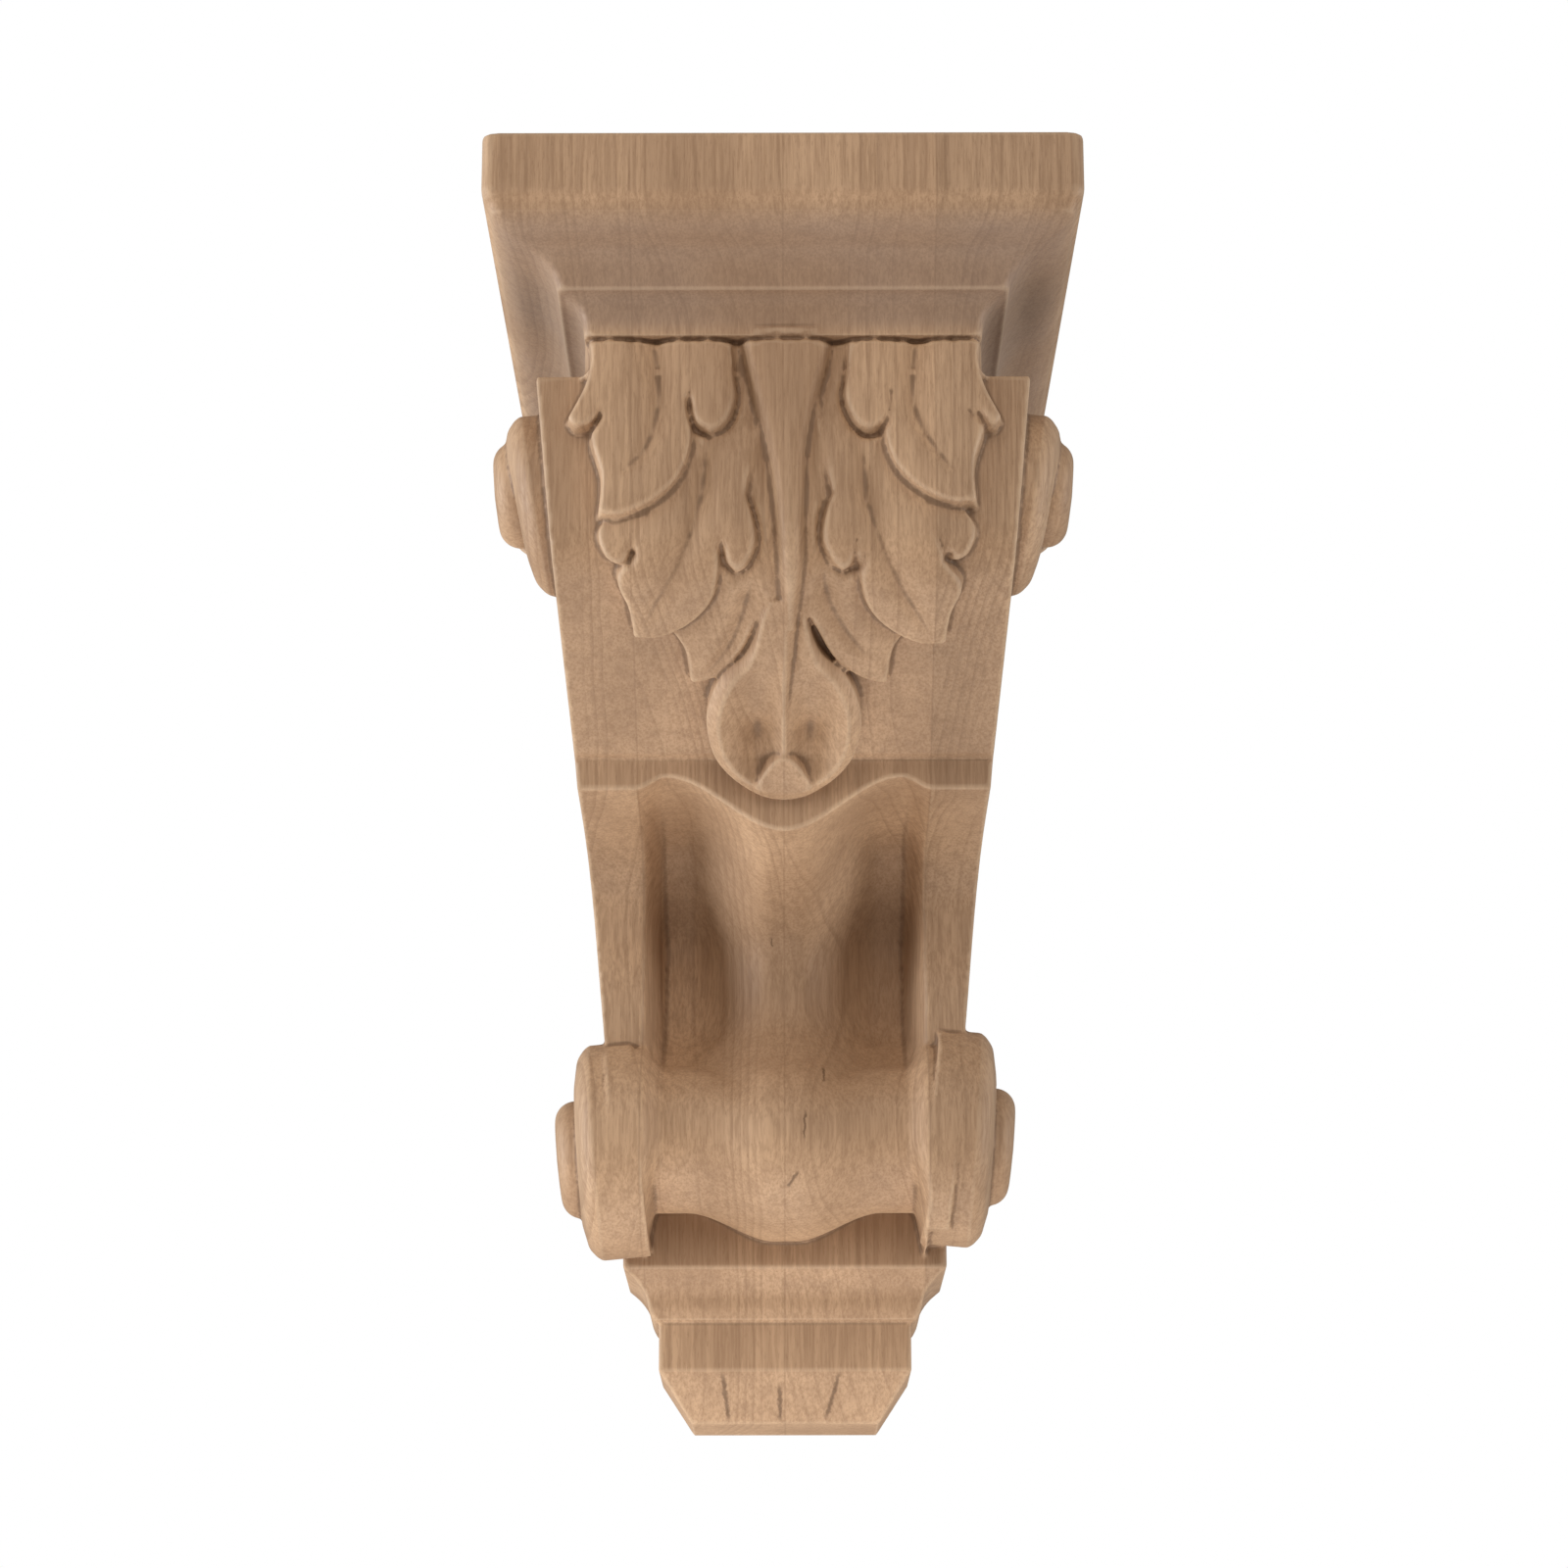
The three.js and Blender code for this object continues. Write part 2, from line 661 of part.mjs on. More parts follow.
function makeDrop() {
  const start = panelPoint(dropStart);
  const hangFrom = point2(start.y + leafRelief * start.outY, start.z + leafRelief * start.outZ);
  const hangTo = point2(bandFace + dropProud, ledge.z - dropBelowLedge);
  const along = hangTo.clone().sub(hangFrom).divideScalar(dropLength);
  const right = smooth(dropHalf.map(([x, down]) => point2(x, down)), 18);
  const left = right.map(({ x, y }) => point2(-x, y)).reverse();
  const outline = [...right, point2(0, dropLength), ...left];
  const ring = (size, raised) => outline.map(({ x, y }) => {
    const across = x * size;
    const down = dropMiddle + (y - dropMiddle) * size;
    const lift = raised ?? dishAt(across, down);
    const out = hangFrom.x + along.x * down - along.y * lift;
    return new THREE.Vector3(across, -out, hangFrom.y + along.y * down + along.x * lift);
  });
  const dished = [0.72, 0.6, 0.48, 0.36, 0.24, 0.12, 0.03].map((share) => ring(share));
  return solidFrom(loft([ring(1, -dropThickness), ring(1, -dropBevel), ring(dropRim, 0), ...dished]));
}

// Scrolls: the band winds in and rises as it goes, and ends against a domed eye.
// A place on a scroll is (forward, up, out), measured from its centre on the side plane. The lower
// scroll on the right was carved a little higher than the one on the left.

function scrollFrame(side, scroll) {
  const { centreY, rightLift } = scroll;
  const centreZ = scroll.centreZ + (side > 0 ? rightLift : 0);
  const tilt = Math.atan(taper);
  const forward = new THREE.Vector3(0, -1, 0);
  const up = new THREE.Vector3(side * Math.sin(tilt), 0, Math.cos(tilt));
  const out = new THREE.Vector3(side * Math.cos(tilt), 0, -Math.sin(tilt));
  const centre = new THREE.Vector3(side * sideAt(centreZ), -centreY, centreZ);
  return new THREE.Matrix4().makeBasis(forward, up, out).setPosition(centre);
}

function makeWinding(scroll, side) {
  const { radius, eyeRadius, start, turn, closesFrom, lowRise, highRise } = scroll;
  const steps = 26;
  const lastShare = 0.994;
  const sunk = -6;
  const places = [];
  for (let i = 0; i <= steps; i++) {
    const share = (lastShare * i) / steps;
    const reach = radius - (radius - eyeRadius - 1) * ease((share - closesFrom) / (1 - closesFrom));
    const rim = (lowRise + (highRise - lowRise) * share) * Math.min(share / 0.05, 1) - 0.2;
    const bevel = Math.min(scrollBevel, (reach - eyeRadius) / 2);
    places.push({ angle: start + turn * share * Math.PI * 2, reach, rim, bevel });
  }
  const ring = (section) => places.map((place) => {
    const [r, out] = section(place);
    return new THREE.Vector3(r * Math.cos(place.angle), r * Math.sin(place.angle), out);
  });
  const geometry = loft([
    ring(({ reach }) => [reach, sunk]),
    ring(({ reach, rim }) => [reach, rim]),
    ring(({ reach, rim, bevel }) => [reach - bevel, rim + bevel * 0.8]),
    ring(({ reach, rim, bevel }) => [eyeRadius - 0.5, rim + bevel * 0.8 + (reach - eyeRadius) * 0.12]),
  ]);
  geometry.applyMatrix4(scrollFrame(side, scroll));
  return solidFrom(geometry);
}

function makeEye(scroll, side) {
  const { eyeRadius, eyeRise } = scroll;
  const profile = [point2(0, -6), point2(eyeRadius, -6), point2(eyeRadius, eyeRise - eyeRounding)];
  profile.push(...arc(point2(eyeRadius - eyeRounding, eyeRise - eyeRounding), eyeRounding, 0.3, 1.3, 3));
  profile.push(point2(0, eyeRise + eyeCrown));
  const geometry = new THREE.LatheGeometry(profile, 28);
  geometry.rotateX(Math.PI / 2);
  geometry.translate(0, scroll.eyeLift, 0);
  geometry.applyMatrix4(scrollFrame(side, scroll));
  return solidFrom(geometry);
}

const scrolls = [
  {
    centreY: panelFace - upperScrollSetback,
    centreZ: top - upperScrollDrop,
    radius: upperScrollRadius,
    eyeRadius: upperEyeRadius,
    eyeRise: upperEyeRise,
    eyeLift: 3,
    start: -Math.PI / 2 - 0.46,
    turn: 1,
    closesFrom: 0.45,
    lowRise: 1.8,
    highRise: 9,
    rightLift: 0,
  },
  {
    centreY: rollProjection - lowerScrollRadius,
    centreZ: rollCentreZ - 2,
    radius: lowerScrollRadius,
    eyeRadius: lowerEyeRadius,
    eyeRise: lowerEyeRise,
    eyeLift: -1.2,
    start: Math.PI / 2 + 0.6,
    turn: -1,
    closesFrom: 0.66,
    lowRise: 4.2,
    highRise: 6.5,
    rightLift: 2.8,
  },
];

function makeScrolls() {
  const parts = [];
  for (const scroll of scrolls) {
    for (const side of [-1, 1]) {
      parts.push(makeWinding(scroll, side), makeEye(scroll, side));
    }
  }
  return parts;
}

const wood = new THREE.MeshStandardMaterial({ color: 0xb08d6c, roughness: 0.62, metalness: 0 });
const pieces = [makeBody(), makeApron()];
let bracket = pieces.reduce((sum, piece) => sum.add(piece));
bracket = bracket.subtract(makeHollow());
for (const piece of [makeCap(), makeNeck(), makeFoot(), makeLeaf(), makeDrop(), ...makeScrolls()]) {
  bracket = bracket.add(piece);
}

const corbel = new THREE.Mesh(geometryFrom(bracket.simplify(faceTolerance)), wood);
corbel.name = 'corbel_bracket';

const group = new THREE.Group();
group.add(corbel);

export default group;
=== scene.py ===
from math import atan, cos, pi, radians, sin

import bpy
import numpy as np
from mathutils import Matrix, Vector


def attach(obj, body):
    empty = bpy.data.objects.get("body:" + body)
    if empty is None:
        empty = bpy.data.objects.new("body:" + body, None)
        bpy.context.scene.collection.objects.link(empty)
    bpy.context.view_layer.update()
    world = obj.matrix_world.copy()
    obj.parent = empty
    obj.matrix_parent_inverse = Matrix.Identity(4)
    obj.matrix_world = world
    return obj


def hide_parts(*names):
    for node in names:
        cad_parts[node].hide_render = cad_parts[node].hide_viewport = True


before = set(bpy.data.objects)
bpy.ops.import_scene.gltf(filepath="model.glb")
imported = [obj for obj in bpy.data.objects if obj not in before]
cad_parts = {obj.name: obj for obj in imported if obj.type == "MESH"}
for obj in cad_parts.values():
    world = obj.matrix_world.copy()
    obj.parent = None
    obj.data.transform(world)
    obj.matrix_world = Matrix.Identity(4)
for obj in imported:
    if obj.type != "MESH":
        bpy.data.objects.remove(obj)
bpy.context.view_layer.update()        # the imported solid, which stays as it is and isn't shown

# the carving's lengths are in millimetres, and meshes are scaled to metres when they are made;
# the wood's pattern, the lights and the camera are in metres
mm = 0.001

overall = {"height": 254, "width": 127, "projection": 178}
top = overall["height"] / 2
bottom = -top


# small helpers

def ease(value):
    t = np.clip(value, 0, 1)
    return t * t * (3 - 2 * t)


def curveThrough(points, count):
    # smooth curve through the points, then evenly spaced along its length
    p = np.array(points, float)
    p = np.vstack([2 * p[0] - p[1], p, 2 * p[-1] - p[-2]])
    t = np.linspace(0, len(p) - 3, count * 4)
    i = np.minimum(t.astype(int), len(p) - 4)
    f = (t - i)[:, None]
    a, b, c, d = p[i], p[i + 1], p[i + 2], p[i + 3]
    fine = 0.5 * (2 * b + (c - a) * f + (2 * a - 5 * b + 4 * c - d) * f**2 + (3 * b - a - 3 * c + d) * f**3)
    return evenly(fine, count)


def evenly(points, count):
    points = np.array(points, float)
    step = np.linalg.norm(np.diff(points, axis=0), axis=1)
    along = np.concatenate([[0], np.cumsum(step)])
    wanted = np.linspace(0, along[-1], count)
    return np.stack([np.interp(wanted, along, points[:, k]) for k in range(points.shape[1])], 1)


def selectOnly(*objects):
    bpy.ops.object.select_all(action="DESELECT")
    for o in objects:
        o.select_set(True)
    bpy.context.view_layer.objects.active = objects[0]


def meshObject(name, vertices, faces):
    mesh = bpy.data.meshes.new(name)
    mesh.from_pydata((np.array(vertices) * mm).tolist(), [], [[int(i) for i in f] for f in faces])
    mesh.update()
    o = bpy.data.objects.new(name, mesh)
    bpy.context.collection.objects.link(o)
    selectOnly(o)
    bpy.ops.object.mode_set(mode="EDIT")
    bpy.ops.mesh.select_all(action="SELECT")
    bpy.ops.mesh.remove_doubles(threshold=1e-6)
    bpy.ops.mesh.normals_make_consistent(inside=False)
    bpy.ops.object.mode_set(mode="OBJECT")
    return o


def loft(name, rings):
    # joins closed rings of equal length and closes both ends
    count = len(rings[0])
    vertices = np.concatenate(rings)
    faces = []
    for r in range(len(rings) - 1):
        for i in range(count):
            a, b = r * count + i, r * count + (i + 1) % count
            faces.append((a, b, b + count, a + count))
    faces.append(list(range(count))[::-1])
    last = (len(rings) - 1) * count
    faces.append(list(range(last, last + count)))
    return meshObject(name, vertices, faces)


def reliefSheet(name, upper, lower):
    # two matching grids of points joined round their edge: a carved face and its back
    rows, cols = upper.shape[:2]
    vertices = np.concatenate([upper.reshape(-1, 3), lower.reshape(-1, 3)])
    index = np.arange(rows * cols).reshape(rows, cols)
    quads = np.stack([index[:-1, :-1], index[:-1, 1:], index[1:, 1:], index[1:, :-1]], -1).reshape(-1, 4)
    back = quads[:, ::-1] + rows * cols
    edge = np.concatenate([index[0, :], index[1:, -1], index[-1, -2::-1], index[-2:0:-1, 0]])
    after = np.roll(edge, -1)
    sides = np.stack([after, edge, edge + rows * cols, after + rows * cols], -1)
    return meshObject(name, vertices, np.concatenate([quads, back, sides]))


def applyModifier(o, kind, **settings):
    selectOnly(o)
    m = o.modifiers.new(kind.lower(), kind)
    for key, value in settings.items():
        setattr(m, key, value)
    bpy.ops.object.modifier_apply(modifier=m.name)


def distanceToLine(x, y, line):
    # shortest distance of every grid point to a run of points, and how far along the run that is
    best = np.full(x.shape, 1e9)
    place = np.zeros(x.shape)
    count = len(line) - 1
    for i in range(count):
        ax, ay = line[i]
        dx, dy = line[i + 1] - line[i]
        t = np.clip(((x - ax) * dx + (y - ay) * dy) / (dx * dx + dy * dy + 1e-12), 0, 1)
        d = np.hypot(x - ax - t * dx, y - ay - t * dy)
        nearer = d < best
        best = np.where(nearer, d, best)
        place = np.where(nearer, (i + t) / count, place)
    return best, place


def insideOutline(x, y, outline):
    inside = np.zeros(x.shape, bool)
    for (ax, ay), (bx, by) in zip(outline, np.roll(outline, -1, 0)):
        crosses = (ay > y) != (by > y)
        with np.errstate(divide="ignore", invalid="ignore"):
            at = ax + (y - ay) * (bx - ax) / (by - ay)
        inside ^= crosses & (x < at)
    return inside


# cap and foot: square blocks that return round both sides

cap = {
    "fascia": 15, "cymaDrop": 14.2, "cymaInset": 15.4, "quirk": 1.6,
    "roundDrop": 8.3, "roundInset": 4, "neckDrop": 7.5, "softEdge": 3, "corner": 2.6, "neckCorner": 0.5,
}
fasciaBottom = top - cap["fascia"]
cymaBottom = fasciaBottom - cap["cymaDrop"]
roundBottom = cymaBottom - cap["roundDrop"]
shoulder = roundBottom - cap["neckDrop"]
capInset = cap["cymaInset"] + cap["quirk"] + cap["roundInset"]

panel = {"upright": 31.5, "bend": 16, "slope": radians(36), "slopeLength": 46, "relief": 4.6}
leafFace = overall["projection"] - capInset
panelFace = leafFace - panel["relief"]

foot = {
    "width": 74.4, "projection": 40.9, "band": 4.4, "coveDrop": 11.6, "coveInset": 6.9,
    "step": 1.2, "block": 11, "chamferDrop": 11.5, "chamferInset": 7.5, "corner": 0.7,
}
footBlockTop = bottom + foot["chamferDrop"] + foot["block"]
footBandBottom = footBlockTop + foot["coveDrop"]
footBandTop = footBandBottom + foot["band"]


def mitredBlock(name, width, projection, profile, corner):
    # a block drawn downwards from a flat top with rounded front corners: each step is extruded and
    # drawn in on three sides
    profile = np.array(profile, float)
    startInset, startZ = profile[0]
    bpy.ops.object.select_all(action="DESELECT")
    bpy.ops.mesh.primitive_plane_add(size=1, location=(0, -(projection - startInset) / 2 * mm, startZ * mm))
    o = bpy.context.object
    o.name = name
    bpy.ops.transform.resize(value=((width - 2 * startInset) * mm, (projection - startInset) * mm, 1))
    bpy.ops.object.transform_apply(location=True, rotation=True, scale=True)
    bpy.ops.object.mode_set(mode="EDIT")
    bpy.ops.mesh.select_all(action="DESELECT")
    bpy.ops.mesh.select_mode(type="VERT")
    bpy.ops.object.mode_set(mode="OBJECT")
    for v in o.data.vertices:
        v.select = v.co.y < -projection / 2 * mm
    bpy.ops.object.mode_set(mode="EDIT")
    bpy.ops.mesh.bevel(offset=corner * mm, segments=6, affect="VERTICES")
    bpy.ops.mesh.select_all(action="SELECT")
    for (insetA, zA), (insetB, zB) in zip(profile[:-1], profile[1:]):
        bpy.ops.mesh.extrude_region_move(TRANSFORM_OT_translate={"value": (0, 0, (zB - zA) * mm)})
        wide = (width - 2 * insetB) / (width - 2 * insetA)
        deep = (projection - insetB) / (projection - insetA)
        bpy.ops.transform.resize(value=(wide, deep, 1), center_override=(0, 0, zB * mm))
    bpy.ops.mesh.select_all(action="SELECT")
    bpy.ops.mesh.normals_make_consistent(inside=False)
    bpy.ops.object.mode_set(mode="OBJECT")
    return o


def makeCap():
    c, d = cap["cymaInset"], cap["cymaDrop"]
    cyma = curveThrough([
        (0, fasciaBottom), (c * 0.1, fasciaBottom - d * 0.12), (c * 0.34, fasciaBottom - d * 0.34),
        (c * 0.7, fasciaBottom - d * 0.5), (c * 0.9, fasciaBottom - d * 0.72), (c, cymaBottom),
    ], 60)
    start = c + cap["quirk"]
    r, h = cap["roundInset"], cap["roundDrop"]
    roundPart = curveThrough([
        (start, cymaBottom - 0.3), (start + r * 0.5, cymaBottom - h * 0.2),
        (start + r * 0.84, cymaBottom - h * 0.5), (start + r, roundBottom),
    ], 30)
    soft = cap["softEdge"]
    edge = [(soft * (1 - cos(a)) * 0.55, fasciaBottom + soft * (1 - sin(a))) for a in np.linspace(0, 1.2, 8)]
    profile = [(0.5, top), (0.12, top - 0.25), (0, top - 0.7), *edge, *cyma[8:], *roundPart]
    return mitredBlock("cap", overall["width"], overall["projection"], profile, cap["corner"])


def makeNeck():
    profile = [(0, roundBottom + 2), (0, shoulder - 4)]
    return mitredBlock("neck", overall["width"] - 2 * capInset, panelFace, profile, cap["neckCorner"])


def makeFoot():
    i, d = foot["coveInset"], foot["coveDrop"]
    cove = curveThrough([
        (0, footBandBottom), (i * 0.42, footBandBottom - d * 0.22), (i * 0.72, footBandBottom - d * 0.48),
        (i * 0.84, footBandBottom - d * 0.76), (i, footBlockTop + 0.5),
    ], 18)
    inset = i + foot["step"]
    profile = [(0, footBandTop + 12), *cove, (inset, footBlockTop), (inset, footBlockTop - foot["block"]),
               (inset + foot["chamferInset"], bottom)]
    return mitredBlock("foot", foot["width"], foot["projection"], profile, foot["corner"])


# body: one side profile, tapered towards the foot

body = {"shoulderWidth": 105.9, "footWidth": 73.6, "ledgeStep": 2.2, "band": 7.5, "borderDepth": 59.7}
roll = {"radius": 21, "projection": 77, "aboveFoot": 61}
hollow = {"width": 65, "depth": 45.5, "ridge": 58.5, "apronDrop": 9.3, "archRise": 2.8, "underRoll": 13}
taper = (body["shoulderWidth"] - body["footWidth"]) / 2 / (shoulder - footBandTop)
rollZ = bottom + roll["aboveFoot"]
rollY = roll["projection"] - roll["radius"]

bendSweep = pi / 2 - panel["slope"]
uprightLength = panel["upright"] + cap["neckDrop"]
bendLength = panel["bend"] * bendSweep
panelLength = uprightLength + bendLength + panel["slopeLength"]


def sideAt(z):
    return body["footWidth"] / 2 + taper * (z - footBandTop)


def panelPoint(down):
    # place on the panel and the way it faces, from the distance down its surface
    turned = np.clip((down - uprightLength) / panel["bend"], 0, bendSweep)
    outY, outZ = np.cos(turned), -np.sin(turned)
    above = np.minimum(down, uprightLength)
    straight = np.maximum(down - uprightLength - bendLength, 0)
    y = panelFace - panel["bend"] * (1 - outY) + straight * outZ
    z = roundBottom - above + panel["bend"] * outZ - straight * outY
    return y, z, outY, outZ


ledgeY, ledgeZ = panelPoint(np.float64(panelLength))[:2]
bandFace = ledgeY - body["ledgeStep"]
bandBottom = ledgeZ - body["band"]


def rollFront(z):
    up = (z - rollZ) / roll["radius"]
    lower = (z - rollZ) / (rollZ - footBandTop + 1.5)
    share = np.where(up > 0, up, lower)
    return rollY + roll["radius"] * np.sqrt(np.maximum(1 - share**2, 0))


def borderProfile():
    drop = bandBottom - rollZ - roll["radius"] * 0.86
    deep = body["borderDepth"]
    cove = curveThrough([
        (bandFace - 4, bandBottom - 0.6), (bandFace - (bandFace - deep) * 0.66, bandBottom - drop * 0.08),
        (bandFace - (bandFace - deep) * 0.93, bandBottom - drop * 0.22), (deep, bandBottom - drop * 0.42),
        (deep + 2.4, bandBottom - drop * 0.7), (deep + 3, bandBottom - drop * 0.93),
    ], 60)
    turn = np.cos(np.linspace(0, pi, 90))
    rollTop = roll["radius"] * 0.955
    rollLow = rollZ - footBandTop - 0.6
    z = rollZ + np.where(turn > 0, rollTop, rollLow) * turn
    return np.concatenate([cove, np.stack([rollFront(z), z], 1)])


def slab(name, profile, half):
    # a slab between two upright side faces: half(z) says how far out each side stands
    profile = np.array(profile)
    rings = [np.stack([side * half(profile[:, 1]), -profile[:, 0], profile[:, 1]], 1) for side in (-1, 1)]
    return loft(name, rings)


def makeBody():
    y, z = panelPoint(np.linspace(uprightLength, uprightLength + bendLength, 30))[:2]
    inFoot = foot["projection"] - 2
    profile = [
        (0, shoulder), (panelFace, shoulder), *zip(y, z), (ledgeY, ledgeZ), (bandFace, ledgeZ - 0.8),
        (bandFace, bandBottom), *borderProfile(), (inFoot, footBandTop + 0.6), (inFoot, footBandBottom + 2),
        (0, footBandBottom + 2),
    ]
    blank = slab("body", profile, sideAt)
    low = bandBottom - hollow["apronDrop"]
    apron = slab("apron", [
        (0, ledgeZ - 2), (bandFace, ledgeZ - 2), (bandFace, low), (hollow["ridge"] + 8, low - 20),
        (roll["projection"] + 2, rollZ + 8), (roll["projection"] + 2, rollZ - 16),
        (rollY, footBandTop - 2), (0, footBandTop - 2),
    ], lambda z: hollow["width"] / 2 - 0.3 + 0 * z)
    return blank, apron


# the hollow's sections: (share of the height from band to foot, distance out from the wall);
# from the point numbered underRoll they are on the roll's underside
deepest, ridge, rollOut, footOut = hollow["depth"], hollow["ridge"], roll["projection"], foot["projection"]
ridgeLine = np.array([
    (0.07, bandFace), (0.11, bandFace - 6), (0.13, bandFace - 13), (0.18, bandFace - 28), (0.26, ridge + 5),
    (0.37, ridge), (0.47, ridge + 1), (0.56, ridge + 7), (0.63, rollOut - 4.5), (0.71, rollOut - 0.5),
    (0.78, rollOut + 0.5), (0.86, rollOut - 1.5), (0.93, rollOut - 7), (0.98, rollOut - 16),
    (0.995, rollOut - 26), (0.984, footOut),
])
channelLine = np.array([
    (-0.03, bandFace), (-0.014, bandFace - 21), (0.012, deepest + 21), (0.083, deepest + 11.5),
    (0.212, deepest + 0.5), (0.353, deepest + 1), (0.474, deepest + 4), (0.53, deepest + 8),
    (0.571, rollOut - 19), (0.607, rollOut - 11), (0.672, rollOut - 5.5), (0.754, rollOut - 3.8),
    (0.831, rollOut - 5.5), (0.896, rollOut - 11), (0.938, rollOut - 20), (0.902, footOut),
])
# at its sides the hollow runs out flush with the borders
borderShares = np.array([
    0, 0.003, 0.043, 0.117, 0.226, 0.362, 0.48, 0.525, 0.54, 0.58, 0.66, 0.754, 0.863, 0.951, 1.02, 1.03,
])
borderRun = borderProfile()[::-1]
borderHeights = bandBottom - borderShares * (bandBottom - footBandTop)
borderOut = np.interp(borderHeights, borderRun[:, 1], borderRun[:, 0])
borderOut[:2] = bandFace, bandFace - 5.5
borderOut[-2:] = rollOut - 14, footOut
borderLine = np.stack([borderShares, borderOut], 1)


def rimHeight(across):
    peak, dip = bandBottom + hollow["archRise"], bandBottom - hollow["apronDrop"]
    if across < 0.8:
        return dip + (peak - dip) * ease(across / 0.8)
    return bandBottom + hollow["archRise"] * (1 - ease((across - 0.8) / 0.2))


def hollowSection(across):
    toChannel = ease((across - 0.08) / 0.6)
    underRoll = np.arange(len(ridgeLine)) >= hollow["underRoll"]
    scoopFrom = np.where(underRoll, 0.9, 0.84)[:, None]
    toBorder = ease((across - scoopFrom) / (1 - scoopFrom))
    line = ridgeLine + (channelLine - ridgeLine) * toChannel
    line = line + (borderLine - line) * toBorder
    out, z = line[:, 1], bandBottom - line[:, 0] * (bandBottom - footBandTop)
    z[0] = rimHeight(across)
    return curveThrough(np.stack([out, z], 1), 150)


def makeHollow():
    rings = []
    front = bandFace + 30
    for signed in np.linspace(-1, 1, 121):
        x = signed * hollow["width"] / 2
        section = hollowSection(abs(signed))
        points = [(-front, section[0][1]), *[(-out, z) for out, z in section],
                  (-footOut + 1, footBandBottom), (-front, footBandBottom)]
        rings.append(np.array([(x, y, z) for y, z in points]))
    return loft("hollow", rings)


# leaf: heights over the flat panel, in (out from the middle, down the panel)

leaf = {
    "face": 4.9, "sink": 2.5, "sinkReach": 7, "crown": 0.8, "crownReach": 6, "arris": 0.9, "veinDepth": 2.5,
    "veinWidth": 0.6, "veinFlare": 3, "stemDepth": 2.6, "stemWidth": 3.4, "stemEdge": 0.9, "ribRise": 0.5,
    "cutDepth": 1.9, "cutWidth": 0.6, "lineDepth": 2.1, "linePlace": 0.45, "lineWidth": 0.6,
    "gridStep": 0.36,
}
# each lobe: its outer edge down to the tip, its lower edge back up, where it closes under its neighbours,
# the lobes that lie over it, its height at the tip, and how much further out and down it is on the right
lobes = {
    "F": {
        "outer": [(24.6, 65), (21.4, 70), (20.2, 78.6)],
        "lower": [(20.2, 78.6), (14.2, 76.6), (8.6, 71.6), (4.2, 63)],
        "root": [(3.6, 61), (-1, 56), (-1, -2), (30, -2), (28, 40), (30, 56)],
        "over": "DE", "tip": 4.7, "shift": (2.2, 0.2),
    },
    "D": {
        "outer": [(31.6, 46.4), (35.4, 51), (33.2, 58), (32.2, 65.6)],
        "lower": [(32.2, 65.6), (26, 65.4), (19.4, 61.4), (15, 55.4), (13, 46)],
        "root": [(9, 38), (7, 30), (5, 16), (5, -2), (34, -2), (36, 30)],
        "over": "BC", "tip": 5.3, "shift": (2.6, 1.6),
    },
    "D1": {
        "outer": [(36.8, 38.5), (39.4, 43), (37.8, 47.4), (35.4, 48.9)],
        "lower": [(35.4, 48.9), (33, 48.4), (31.6, 45.8)],
        "root": [(28, 40), (30, 30)],
        "over": "B", "tip": 4.9, "shift": (1.4, -0.6),
    },
    "E": {
        "outer": [(13.3, 44.5), (12.2, 48.4), (10.2, 50.6)],
        "lower": [(10.2, 50.6), (7, 48.6), (5.5, 43.6), (7.8, 35.4)],
        "root": [(7.6, 26), (7, 10), (7, -2), (13, -2), (14, 20), (14.2, 34)],
        "over": "C", "tip": 5.3, "shift": (2.4, -0.2),
    },
    "B": {
        "outer": [(38.9, 18.2), (41, 23), (38.8, 31.5), (39.2, 40)],
        "lower": [(39.2, 40), (34, 40.2), (27.5, 37.4), (21.8, 31.4), (19.4, 23), (20.2, 15)],
        "root": [(17, -2), (38, -2)],
        "over": "", "tip": 5.7, "shift": (1.8, -2.4),
    },
    "A": {
        "outer": [(42, -2), (41.3, 5.5), (42.6, 11.5), (46, 18.6)],
        "lower": [(46, 18.6), (44.2, 20.6), (40.8, 20), (38.7, 17.4)],
        "root": [(33, 8), (32, -2)],
        "over": "", "tip": 5.5, "shift": (0.6, 0),
    },
    "C": {
        "outer": [(20.2, 13), (19.2, 19), (15.6, 22)],
        "lower": [(15.6, 22), (12, 20), (9.8, 14), (10.6, 7)],
        "root": [(11.4, -2), (22, -2)],
        "over": "", "tip": 5.6, "shift": (3, -0.4),
    },
}
# grooves down each lobe: left and right, from the wide end to where they run out
veins = [
    [(-28.2, -3), (-26.6, 9.6), (-26.8, 17.4), (-29, 25.1), (-32.1, 28.9), (-34.8, 31.5)],
    [(-15.6, 20), (-16.4, 28), (-17.4, 36), (-19.4, 42.6), (-22.7, 49.1), (-26.6, 55.2), (-29.6, 61.8)],
    [(-6.6, 50), (-7.6, 56), (-9.2, 62.4), (-11.5, 68.3), (-14.7, 73.1), (-17.5, 75.8)],
    [(28.8, -3), (27.6, 9), (28, 16), (30.1, 21.8), (34.2, 28.4), (36.6, 31.2)],
    [(16.4, 20), (17, 29), (17.8, 37.2), (21.1, 45.8), (24.9, 52.6), (29.2, 60.2), (31.4, 64.4)],
    [(8.2, 48), (8.9, 54), (10.6, 59.5), (13.6, 65), (17.9, 70.9)],
]
stemLines = [
    [(-9.8, -3), (-8.4, 4), (-6.2, 14), (-3.9, 24), (-2.2, 34), (-1.2, 44), (-0.7, 53), (-0.4, 64)],
    [(10.8, -3), (9.2, 6), (6.6, 16), (4.8, 26), (4.1, 38), (4, 48), (3.3, 57), (2.5, 67.5)],
]
